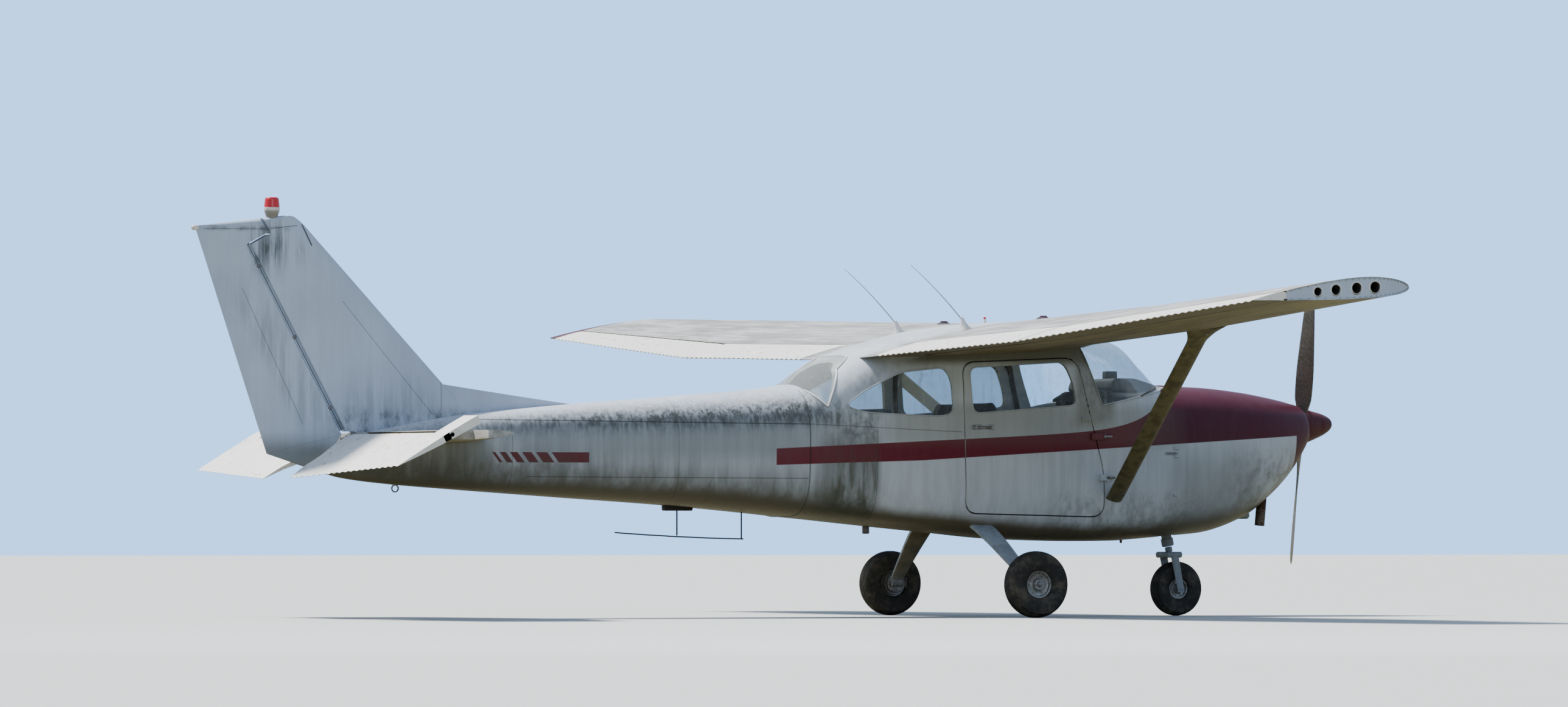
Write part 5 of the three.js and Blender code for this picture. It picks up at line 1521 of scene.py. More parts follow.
@dataclass
class Wings(Assembly):
    """Wings, flaps, ailerons, struts and what stands on them."""

    form: Aerofoil = None
    rib: float = 5.283
    hinge: float = 0.79
    flap_span: tuple = (0.585, 2.545)
    aileron_span: tuple = (2.561, 5.27)
    holes: tuple = ((0.216, 34), (0.335, 33), (0.469, 31), (0.586, 26))

    def __post_init__(self) -> None:
        """Reads the wing's sections, and carries the first straight on into the body."""
        self.form = Aerofoil([(545, -670, 1850, -2300, 1690, 0.125),
                              (2553, -665, 1925, -2280, 1742, 0.112),
                              (5283, -990, 2022, -2045, 1930, 0.122)], camber=0.02)
        first, second = np.array(self.form.table[:2])
        inner = first + (first - second) * (545 - 240) / (2553 - 545)
        self.form.table = [(240, *inner[1:5], first[5]), *self.form.table]

    def build(self) -> None:
        """Builds both wings."""
        for name, side in SIDES:
            self.wing(name, side)
            self.strut(name, side)
            self.small_things(name, side)
        self.tip_cap()

    def wing(self, name: str, side: float) -> None:
        """One wing with its flap and aileron."""
        hinge = np.array([[self.hinge]])
        out = np.concatenate([np.linspace(0.25, 0.545, 5), np.linspace(0.8, 2.553, 9),
                              np.linspace(2.8, self.rib, 11)])
        skin = self.form.fixed(out, hinge, side).thing(f"wing_skin_{name}")
        root = self.form.whole(np.linspace(0.25, self.flap_span[0] - 0.006, 5), side)
        cut(skin, [root], Cut.JOIN)
        cut(skin, [FORM.solid(-0.3, -2.6, SKIN_GAP, 0.05, 120)])
        ahead = (1.0, 0.0, 0.0)
        for kind, span, travel, spots in (("flap", self.flap_span, (2, 40), (0.12, 0.5, 0.88)),
                                          ("aileron", self.aileron_span, (17, 17),
                                           (0.1, 0.5, 0.9))):
            count = round((span[1] - span[0]) / BEAD_PITCH * 8)
            panel = self.form.moving(np.linspace(*span, count), hinge, travel, side,
                                     BEAD_PITCH, BEAD_DEPTH).thing(f"{kind}_skin_{name}")
            plates, notches, bores = brackets(self.form.hinge_line(span, hinge, side), spots, ahead,
                                              0.006)
            cut(panel, [notches, bores])
            self.show(panel, Paint.BEADED, "control_skin", f"{kind}_{name}", [f"{kind}_{name}"])
            self.show(plates.thing(f"{kind}_hinges_{name}"), Paint.STEEL, "gear_steel")
        if side < 0:
            self.bare_rib(skin, side)
        self.show(skin, Paint.WING, "wing_skin", replaces=[f"wing_{name}"])

    def bare_rib(self, skin: Thing, side: float) -> None:
        """The starboard tip, where the cap is gone: a recessed rib with four flanged holes, with
        black cups in them as painted shade.
        """
        share = 0.006 + 0.985 * self.hinge * np.linspace(1, 0, 30)[None] ** 2
        share = np.broadcast_to(share, (2, 30))
        line, half = self.form.profile(np.array([self.rib, self.rib]), share)

        def bay(inward: float, outward: float, lip: float) -> Shell:
            """A slab with the rib's outline, less a lip all round."""
            out = np.array([self.rib + inward, self.rib + outward])
            inner = np.clip(half - lip, 0.001, None)
            upper = self.form.place(out, share, line + inner, side)
            lower = self.form.place(out, share[:, ::-1], (line - inner)[:, ::-1], side)
            for rings in (upper, lower):
                rings[:, :, [0, 2]] = rings[1:, :, [0, 2]]
            return loft(np.concatenate([upper, lower], 1))

        recess = bay(-0.009, 0.02, 0.0035)
        plate = bay(-0.0095, -0.008, 0.004).thing("rib_plate")
        drills, flanges, hole_shade_cups = [], [], []
        for at, radius in self.holes:
            row = np.array([self.rib])
            level, _ = self.form.profile(row, np.array([[at]]))
            centre = self.form.place(row, np.array([[at]]), level, side)[0, 0] * [1, 0, 1]
            face = centre + [0, side * (self.rib - 0.009), 0]
            r = radius * MM
            drills.append(revolve([(-0.5, r), (0.03, r)], face, (0, side, 0), 40))
            # Painted shade: black closed cups inside the holes stand in for the dark inside of the
            # wing
            hole_shade_cups.append(revolve([(-0.42, 0.001), (-0.42, r - 0.0005), (-0.01, r - 0.0005),
                                 (-0.01, r - 0.0015), (-0.41, r - 0.0015), (-0.41, 0.001)],
                                face, (0, side, 0), 40))
            flanges.append(revolve([(0.004, r), (0.004, r + 0.002), (0.0005, r + 0.009),
                                    (-0.002, r + 0.009), (-0.012, r + 0.002), (-0.012, r)],
                                   face, (0, side, 0), 40, End.JOINED))
        cut(skin, [recess, joined(drills)])
        cut(plate, [joined(drills)])
        # The rib face takes the tail's blue-tinted white: painted sky light on a shaded face
        self.show(plate, Paint.TAIL, "wing_skin")
        self.show(joined(flanges).thing("rib_flanges"), Paint.WHITE, "wing_skin")
        self.show(joined(hole_shade_cups).thing("rib_hole_shade_cups"), Paint.SEAL, "wing_skin")
        t = np.linspace(0.02, 0.98, 26)[None] ** 2 * self.hinge
        rivets = []
        for face in (1, -1):
            line, half = self.form.profile(np.array([self.rib]), t)
            spots = self.form.place(np.array([self.rib - 0.008]), t, line + face * (half - 0.011),
                                    side)[0]
            rivets += [turned([(0, 3.5), (1.2, 3), (1.8, 1.2)], spot, (0, side, 0), 8)
                       for spot in spots[3:]]
        self.show(joined(rivets).thing("rib_rivets"), Paint.STEEL, "wing_skin")

    def tip_cap(self) -> None:
        """The port tip cap: sections that shorten and thin outwards, closed by a half ellipse."""
        cap = Aerofoil([(5283.35, -990, 2022, -2045, 1930, 0.122),
                        (5403, -1040, 2024, -2030, 1938, 0.108),
                        (5470, -1150, 2024, -1975, 1951, 0.08),
                        (5510, -1290, 2014, -1890, 1962, 0.05)], camber=0.02, smooth=True)
        end = np.sin(np.linspace(0, math.pi / 2, 9))
        out = np.concatenate([np.linspace(5.2834, 5.46, 10), 5.47 + 0.0398 * end[1:]])
        thin = np.concatenate([np.ones(10), np.sqrt(np.clip(1 - end[1:] ** 2, 0.0025, 1))])[:, None]
        self.show(cap.whole(out, 1.0, thin).thing("tip_cap"), Paint.CAP, "tip_cap",
                  replaces=["wing_tip_left"])

    def strut(self, name: str, side: float) -> None:
        """A strut: teardrop sections that flare into the wing, cut where it meets the body."""
        foot, head = np.array([-0.543, side * 0.47, 0.745]), np.array([-0.955, side * 2.575, 1.866])
        t = np.concatenate([np.linspace(0, 0.9, 22), np.linspace(0.915, 1.0, 12)])
        chord, thick = smooth_table(np.array([[0, 112, 58], [0.06, 124, 52], [0.9, 128, 52],
                                              [0.955, 190, 76], [1, 320, 112]]),
                                    t).T[:, :, None] * MM
        along = unit(head - foot)
        ahead = unit(np.array([1.0, 0, 0]) - along * along[0])
        over = np.cross(along, ahead)
        run, rise = circle(40)
        body = rise * (0.72 + 0.28 * run)
        middle = (foot + (head - foot) * t[:, None])[:, None]
        rings = middle + (run * chord / 2)[..., None] * ahead + (body * thick / 2)[..., None] * over
        piece = loft(rings).thing(f"strut_tube_{name}")
        cut(piece, [FORM.solid(-0.2, -1.2, SKIN_GAP, 0.05, 120)])
        self.show(piece, Paint.STRUT, "strut_paint", replaces=[f"strut_{name}"])
        cuff = []
        for share, size in ((0.965, 0.005), (0.075, 0.004)):
            spot = foot + (head - foot) * share
            cuff += [block(spot + over * side * sign * 0.03 + ahead * 0.02,
                           (0.022, 0.022, size * 2), 0.003, np.stack([along, ahead, over]))
                     for sign in (1, -1)]
        self.show(joined(cuff).thing(f"strut_bolts_{name}"), Paint.STEEL, "gear_steel")

    def small_things(self, name: str, side: float) -> None:
        """Fuel cap with its tab, and its ring, on top of the wing."""
        spot = self.form.skin(np.array([0.74]), np.array([[0.305]]), 1, side)[0, 0]
        ring = turned([(-6, 46), (3, 46), (5, 42), (3, 36), (-6, 36)],
                      spot, (0.02, 0, 1), 40, End.JOINED)
        lid = turned([(-4, 34), (8, 34), (11, 30), (12, 10)], spot, (0.02, 0, 1), 40)
        tab = block(spot + [0, 0, 0.014], (0.05, 0.009, 0.01), 0.003)
        self.show(ring.thing(f"fuel_ring_{name}"), Paint.STEEL, "wing_skin")
        self.show((lid + tab).thing(f"fuel_cap_{name}"), Paint.CAP, "tip_cap")


@dataclass
class Tail(Assembly):
    """Fin, rudder, tailplane halves, elevators, beacon and tail lamp."""

    hinge_low: tuple = (-5.791, 1.196)
    hinge_high: tuple = (-6.434, 2.372)
    top_slope: float = 0.124
    elevator_hinge: tuple = (-5.74, 0.0, 1.148)
    elevator_rest: float = math.radians(-27)
    horn_from: float = 1.5
    horn_ahead: float = 0.205

    def build(self) -> None:
        """Builds the tail."""
        self.upright()
        self.beacon()
        for name, side in SIDES:
            self.level(name, side)

    def top(self, x: float) -> tuple[float, float]:
        """A point on the fin's sloping top."""
        return (x, 2.562 + (x + 6.13) * self.top_slope)

    def off_hinge(self, up: float, ahead: float, low: bool = False) -> tuple[float, float]:
        """A side-view point by its place along the rudder's hinge line and ahead of it."""
        way = unit(np.subtract(self.hinge_high, self.hinge_low))
        base = np.array(self.hinge_low if low else self.hinge_high)
        return tuple(base + way * up + np.array([way[1], -way[0]]) * ahead)

    def half(self, x: Array, z: Array) -> Array:
        """Half the upright tail's thickness at a station and height: the aerofoil formula."""
        rows = np.array([[900, -4525, -6247, 0.07], [1500, -5096, -6452, 0.078],
                         [2620, -6162, -6835, 0.115]]) * [MM, MM, MM, 1]
        nose, tail, thick = straight_table(rows, z.ravel()).T.reshape(3, *z.shape)
        share = np.clip((nose - x) / (nose - tail), 0, 1)
        return thick * (nose - tail) * half_thickness(share)

    def leaf(self, fore: Sequence, aft: Sequence, splits: Sequence[int], ends: tuple[float, float],
             blunt: tuple[float, float]) -> Shell:
        """An upright panel between a front line and a rear line, rounded at its edges.

        Points run straight from the front line to the rear line. Half the thickness is the
        aerofoil's, drawn in by a quarter circle near each edge.

        Args:
            fore: Front line's corners from the foot up, as x and z.
            aft: Rear line's matching corners.
            splits: Rows between each pair of corners.
            ends: How far the rounding reaches in from the foot and the top.
            blunt: How far it reaches in from the front and the rear.

        Returns:
            The shell.
        """
        steps = [np.linspace(i, i + 1, n, endpoint=False) for i, n in enumerate(splits)]
        v = np.concatenate([*steps, [len(splits)]])
        near = np.array([0.02, 0.06, 0.14, 0.3, 0.6])
        foot_step = ends[0] / np.linalg.norm(np.subtract(fore[1], fore[0]))
        top_step = ends[1] / np.linalg.norm(np.subtract(fore[-1], fore[-2]))
        v = np.unique(np.concatenate([v, near * foot_step, len(splits) - near * top_step]))
        u = 0.5 - 0.5 * np.cos(np.linspace(0, math.pi, 48))
        index = np.arange(len(fore))
        front = np.stack([np.interp(v, index, np.array(fore)[:, i]) for i in (0, 1)], -1)[:, None]
        rear = np.stack([np.interp(v, index, np.array(aft)[:, i]) for i in (0, 1)], -1)[:, None]
        spot = front + (rear - front) * u[None, :, None]
        long = np.linalg.norm(rear - front, axis=-1)
        from_foot = np.linalg.norm(spot - spot[:1], axis=-1)
        from_top = np.linalg.norm(spot - spot[-1:], axis=-1)
        drawn = np.ones(spot.shape[:2])
        for away, reach in ((from_foot, ends[0]), (from_top, ends[1]), (long * u, blunt[0]),
                            (long * (1 - u), blunt[1])):
            if reach:
                drawn = drawn * np.sqrt(np.clip(1 - (1 - np.clip(away / reach, 0, 1)) ** 2, 0, 1))
        y = np.maximum(self.half(spot[..., 0], spot[..., 1]), 0.0012) * drawn
        port = np.stack([spot[..., 0], y, spot[..., 1]], -1)
        starboard = (port * [1, -1, 1])[:, -2:0:-1]
        return loft(np.concatenate([port, starboard], 1))

    def upright(self) -> None:
        """Fin with its long low root, and the rudder behind it with its balance horn."""
        def nose(z: float) -> tuple[float, float]:
            """The fin's leading edge at a height."""
            return (float(np.interp(z, [0.9, 1.5, 2.62], [-4.525, -5.096, -6.162])), z)
        run, horn = 0.0075, 0.15
        fore = [nose(1.16), nose(1.5), nose(2.3), nose(2.485), (-6.08, 2.523), (-6.119, 2.548),
                self.top(-6.175)]
        last = [self.off_hinge(-0.0125, horn + 0.012), self.top(-6.338)]
        aft = [self.off_hinge(-0.02, 0.013, True), self.off_hinge(-0.95, 0.013),
               self.off_hinge(-0.2, 0.013), self.off_hinge(-0.013, 0.013), last[0],
               tuple(np.mean(last, 0)), last[1]]
        fin = self.leaf(fore, aft, (10, 18, 8, 3, 4, 4), (0.0, 0.03),
                        (0.0, 0.004)).thing("fin_skin")
        t = np.linspace(0, 1, 24)[:, None]
        width = np.array([8, 42]) * MM
        heel = np.stack([-4.133 - 1.067 * t, (width[0] + (width[1] - width[0]) * t),
                         1.245 - 0.085 * t], -1)
        ridge = np.stack([-4.133 - 1.067 * t, 0.003 + 0.004 * t, 1.366 + 0.144 * t ** 1.06], -1)
        s = np.linspace(0, 1, 14)[None, :, None]
        flank = heel + (ridge - heel) * s
        flank[..., 1] = heel[..., 1] * (1 - s[..., 0]) ** 1.15 + ridge[..., 1] * s[..., 0]
        mirrored = (flank * [1, -1, 1])[:, ::-1]
        root = loft(np.concatenate([flank, mirrored], 1))
        self.show(root.thing("fin_root"), Paint.TAIL, "body_skin")
        cut(fin, [elevator_room()])
        self.show(fin, Paint.TAIL, "body_skin", replaces=["fin"])
        swing = [run + 0.042 * 0.3057, run + 0.03 * 0.3057]
        fore = [(-5.797, 1.172), self.off_hinge(0, -swing[0], True),
                self.off_hinge(-0.014, -swing[1]), self.off_hinge(0, -run),
                self.off_hinge(0.0, horn), (-6.352, self.top(-6.352)[1])]
        aft = [(-6.297, 1.046), (-6.3, 1.058), (-6.7275, 2.318), (-6.733, 2.334), (-6.737, 2.345),
               (-6.783, 2.481)]
        rudder = self.leaf(fore, aft, (2, 24, 2, 2, 9), (0.0, 0.035), (0.003, 0.004))
        heel = self.leaf([(-5.936, 0.942), (-5.797, 1.1715)], [(-6.041, 0.965), (-6.2968, 1.0455)],
                         (10,), (0.03, 0.0), (0.01, 0.004))
        piece = rudder.thing("rudder_skin")
        cut(piece, [heel], Cut.JOIN)
        low, high = ((x, 0.0, z) for x, z in (self.hinge_low, self.hinge_high))
        axis = np.subtract(high, low)
        long = float(np.linalg.norm(axis))
        ahead = (axis[2] / long, 0.0, -axis[0] / long)
        bar = revolve([(0, 0.019), (long, 0.019)], low, axis, 28).thing("rudder_tube")
        plates, notches, _ = brackets(np.array([low, high]), (0.12, 0.5, 0.88), ahead, 0.006)
        for made in (bar, piece):
            cut(made, [notches])
        self.show(piece, Paint.TAIL, "control_skin", "rudder", ["rudder"])
        self.show(bar, Paint.TAIL, "control_skin", "rudder")
        self.show(plates.thing("rudder_hinges"), Paint.STEEL, "gear_steel")
        lamp = turned([(-10, 17), (12, 18), (22, 16.5), (30, 11), (34, 4)],
                      (-6.772, 0, 2.47), (-1, 0, -0.09), 28)
        self.show(lamp.thing("tail_lamp"), Paint.LAMP, "lens", "rudder")

    def beacon(self) -> None:
        """Beacon: a flared white foot, a collar, and a ribbed red lens."""
        base = (-6.262, 0.0, self.top(-6.262)[1])
        foot = turned([(-85, 8), (-60, 18), (-20, 31), (12, 41), (34, 48), (44, 50.5), (58, 50.5),
                       (60, 47)], base, (0, 0, 1), 48)
        self.show(foot.thing("beacon_foot"), Paint.WHITE, "body_skin")
        lens = turned([(59, 48), (62, 49.5), (66, 48.5), (72, 49), (78, 47.2), (84, 47.7), (90, 46),
                       (96, 46.4), (102, 44.7), (108, 45), (116, 43), (121, 38.5), (123.7, 28),
                       (124.3, 6)], base, (0, 0, 1), 48)
        self.show(lens.thing("beacon_glass"), Paint.LENS, "lens", replaces=["beacon"])

    def level(self, name: str, side: float) -> None:
        """A tailplane half, and its drooping elevator with the balance horn."""
        form = Aerofoil([(40, -4830, 1158, -6315, 1142, 0.061),
                         (1727, -5330, 1158, -6153, 1143, 0.064)])
        tip, (hinge_x, _, hinge_z) = 1.727, self.elevator_hinge

        def share(out: Array) -> Array:
            """Where the hinge lies along each chord."""
            nose_x, _, _, _, chord, _ = form.sizes(out)
            return (nose_x - hinge_x) / chord
        out = np.linspace(0.062, tip, 12)
        plane = form.fixed(out, share(out), side).thing(f"tailplane_skin_{name}")
        notch = block((-5.7105, side * 1.65, 1.15), (0.379 + 0.04, 0.328, 0.3), 0.004)
        cut(plane, [notch, FORM.solid(-4.5, -5.94, SKIN_GAP, 0.06, 96), elevator_room()])
        self.show(plane, Paint.WING, "control_skin", replaces=[f"tailplane_{name}"])
        out = np.linspace(0.096, tip, round((tip - 0.096) / BEAD_PITCH * 8))
        panel = form.moving(out, share(out), (26, 26), side, BEAD_PITCH, BEAD_DEPTH)
        corners = np.array([(-5.7, -0.05), (-5.7, 0.096), (-5.79, 0.096), (-6.38, 0.25),
                            (-6.38, -0.05)])
        wedge = prism(corners * [1, side], 1.0, 1.3, axis=2)
        horn = form.whole(np.linspace(self.horn_from, tip, 6), side).thing(f"elevator_horn_{name}")
        cut(horn, [block((hinge_x + 0.0725, side * 1.4, hinge_z), (0.265, 0.8, 0.3), 0.012)],
            Cut.KEEP)
        line = np.array([(hinge_x, side * out, hinge_z) for out in (0.12, self.horn_from - 0.01)])
        plates, notches, _ = brackets(line, (0.1, 0.55, 0.96), (1.0, 0.0, 0.0), 0.004)
        piece = panel.thing(f"elevator_skin_{name}")
        cut(piece, [wedge, notches])
        for made in (piece, horn):
            self.droop(made)
        tube_shell = turned([(0.2, 17), (104, 17)], self.elevator_hinge, (0, side, 0), 28)
        self.show(piece, Paint.BEADED, "control_skin", "elevator", [f"elevator_{name}"])
        self.show(horn, Paint.BEADED, "control_skin", "elevator")
        self.show(tube_shell.thing(f"elevator_tube_{name}"), Paint.STEEL, "gear_steel", "elevator")
        self.show(plates.thing(f"elevator_hinges_{name}"), Paint.STEEL, "gear_steel")

    def droop(self, piece: Thing) -> None:
        """Turns a finished mesh about the elevator hinge to where it rests."""
        points = swung(read_points(piece.data), self.elevator_hinge, self.elevator_rest)
        write_points(piece.data, points)


@dataclass(frozen=True)
class WheelSize:
    """Where a wheel stands and how big it is: it touches the floor at its radius below."""

    station: float
    out: float
    radius: float
    width: float
    bead: float
    bore: float
    hub: float


@dataclass
class Gear(Assembly):
    """Spring legs, wheels, and the steering nose leg."""

    main: WheelSize = WheelSize(-1.41, 1.09, 0.215, 0.155, 0.088, 0.02, 0.056)
    nose: WheelSize = WheelSize(0.17, 0.0, 0.18, 0.125, 0.068, 0.012, 0.048)

    def build(self) -> None:
        """Builds the undercarriage."""
        for name, side in SIDES:
            self.leg(name, side)
            self.wheel(f"main_{name}", self.main, side, f"wheel_{name}",
                       [f"main_tyre_{name}", f"main_rim_{name}"])
        self.wheel("nose", self.nose, 1.0, "nose_wheel", ["nose_tyre", "nose_rim"])
        self.nose_leg()

    def leg(self, name: str, side: float) -> None:
        """A flat spring leg that narrows and bends outwards, with its axle and brake."""
        rows = np.array([[330, -1496, 640, 158, 32], [520, -1468, 545, 148, 30],
                         [760, -1438, 396, 118, 26], [960, -1415, 258, 92, 22],
                         [1000, -1411, 222, 88, 20]]) * MM
        out = np.linspace(0.33, 1.0, 30)
        x, z, wide, thick = smooth_table(rows, out).T
        slope = np.stack([np.zeros(30), np.gradient(out), np.gradient(z)], -1)
        along = unit(slope)
        over = unit(np.cross(along, [1.0, 0, 0]))
        c, s = circle(24, 0.5)
        reach = squared(c, s, 6)
        middle = np.stack([x, out, z], -1)[:, None]
        rings = (middle + (reach * c)[None, :, None] * (wide / 2)[:, None, None] * [1, 0, 0]
                 + (reach * s)[None, :, None] * (thick / 2)[:, None, None] * over[:, None])
        piece = loft(rings).to_side(side).thing(f"gear_spring_{name}")
        cut(piece, [FORM.solid(-1.2, -1.9, SKIN_GAP, 0.05, 120)])
        self.show(piece, Paint.LEG, "gear_steel", replaces=[f"gear_leg_{name}"])
        px, py, radius = self.main.station, self.main.out, self.main.radius
        axle = turned([(-115, 16), (-113, 19.5), (60, 19.5), (64, 17), (66, 6)],
                      (px, py, radius), (0, 1, 0), 28)
        plate = turned([(-100, 21), (-100, 60), (-96, 64), (-88, 64), (-88, 21)],
                       (px, py, radius), (0, 1, 0), 40, End.JOINED)
        caliper = block((px + 0.062, py - 0.086, radius + 0.004), (0.034, 0.026, 0.07), 0.006)
        boss = block((px - 0.002, py - 0.11, radius + 0.006), (0.086, 0.022, 0.06), 0.008)
        self.show((axle + plate + boss).to_side(side).thing(f"axle_{name}"), Paint.STEEL,
                  "gear_steel")
        self.show(caliper.to_side(side).thing(f"brake_caliper_{name}"), Paint.ENGINE, "gear_steel")

    def wheel(self, name: str, size: WheelSize, side: float, body: str,
              nodes: Sequence[str]) -> None:
        """A tyre with grooved tread, a dished rim with bolts, and a brake disc.

        Args:
            name: What the pieces' names begin with.
            size: Its place and sizes.
            side: 1 or -1.
            body: The body that it turns with.
            nodes: The CAD nodes it stands for: tyre, then rim.
        """
        x, y, radius, half = size.station, size.out, size.radius, size.width / 2
        bead, bore, hub = size.bead, size.bore, size.hub
        centre = (x, side * y, radius)
        angle = np.linspace(-1, 1, 61)
        tread = radius - 0.03 * np.abs(angle) ** 3.2 * (radius / 0.215)
        groove = np.zeros(61)
        for at in (-0.42, -0.14, 0.14, 0.42):
            groove = np.maximum(groove, np.clip(1 - np.abs(angle - at) / 0.045, 0, 1))
        rows = [(a * half * 0.86, r - 0.005 * g) for a, r, g in zip(angle, tread, groove)]
        bulge = [(0.96, 0.8), (1.0, 0.62), (0.985, 0.42), (0.93, 0.24), (0.84, 0.1), (0.72, 0.02),
                 (0.62, 0.0)]
        wall = [(half * a, bead + (radius - bead) * r) for a, r in bulge]
        profile = [(-a, r) for a, r in reversed(wall)] + rows + wall
        self.show(revolve(profile, centre, (0, 1, 0), 72, End.JOINED).thing(f"{name}_tyre_round"),
                  Paint.TYRE, "tyre", body, [nodes[0]])
        edge = bead - 0.0006
        dish = [(-hub, bore + 0.0005), (-hub, bore + 0.012), (-hub + 0.006, bore + 0.016),
                (-half * 0.34, bore + 0.02), (-half * 0.3, bore + 0.026),
                (-half * 0.3, edge - 0.02), (-half * 0.36, edge - 0.013),
                (-half * 0.6, edge - 0.009), (-half * 0.62, edge - 0.004), (-half * 0.62, edge)]
        profile = dish + [(-a, r) for a, r in reversed(dish)]
        rim = revolve(profile, centre, (0, 1, 0), 56, End.JOINED)
        bolts = []
        for k in range(6):
            turn = k * math.pi / 3
            ring = (bore + edge) / 2 + 0.004
            for face in (1, -1):
                spot = (x + math.cos(turn) * ring, side * y + face * half * 0.3,
                        radius + math.sin(turn) * ring)
                bolts.append(turned([(-2, 6.5), (5, 6.5), (6, 5.5)], spot, (0, face, 0), 6))
        self.show((rim + joined(bolts)).thing(f"{name}_rim_dished"), Paint.RIM, "rim", body,
                  [nodes[1]])
        if name.startswith("main"):
            disc = turned([(-70, 40), (-70, 78), (-64.5, 78), (-64.5, 40)], centre,
                          (0, side, 0), 48, End.JOINED)
            hat = turned([(-66, 36), (-66, 42), (-30, 44), (-30, 36)], centre,
                         (0, side, 0), 40, End.JOINED)
            self.show((disc + hat).thing(f"{name}_brake_disc"), Paint.STEEL, "rim", body)

    def nose_leg(self) -> None:
        """Upper tube with its collars and bracket, the slide, and the fork with its axle."""
        top, foot = np.array([0.032, 0, 0.86]), np.array([0.17, 0, 0.18])
        way = unit(foot - top)

        def at(z: float) -> Array:
            """A point on the leg's line at a height."""
            return top + (foot - top) * (top[2] - z) / (top[2] - foot[2])
        upper = turned([(-1, 28), (0, 34), (100, 34), (102, 40), (122, 40), (124, 34), (315, 34),
                        (317, 41), (362, 41), (368, 36)], at(0.822), way, 36)
        bracket = block((0.046, 0, 0.775), (0.09, 0.088, 0.17), 0.008)
        ears = [block((0.078, side * 0.04, z), (0.052, 0.012, 0.05), 0.004)
                for _, side in SIDES for z in (0.71, 0.8)]
        self.show((upper + bracket + joined(ears)).thing("nose_leg_tube"), Paint.LEG, "gear_steel",
                  replaces=["nose_leg"])
        slide = turned([(0, 24), (32, 24)], at(0.4546), way, 32)
        inside = self.nose.width / 2 + 0.012
        crown = block((0.12, 0, 0.404), (0.116, 2 * inside + 0.028, 0.04), 0.012)
        arms = []
        for _, side in SIDES:
            t = np.linspace(0, 1, 14)[:, None]
            middle = np.array([0.12, side * (inside + 0.0065), 0.4]) * (1 - t) + np.array(
                [0.17, side * (inside + 0.0065), 0.156]) * t
            ring = np.stack([*circle(20), np.zeros(20)], -1)
            width = np.hstack([0.03 * (1 - 0.2 * t), 0.0068 + 0 * t, 0 * t])[:, None]
            arms.append(loft(middle[:, None] + ring * width))
        axle = revolve([(-inside - 0.018, 0.008), (-inside - 0.016, 0.0115),
                        (inside + 0.016, 0.0115), (inside + 0.018, 0.008)], (0.17, 0, 0.18),
                       (0, 1, 0), 24)
        self.show((slide + crown + arms[0] + arms[1] + axle).thing("nose_fork_frame"), Paint.LEG,
                  "gear_steel", "nose_fork", ["nose_fork"])


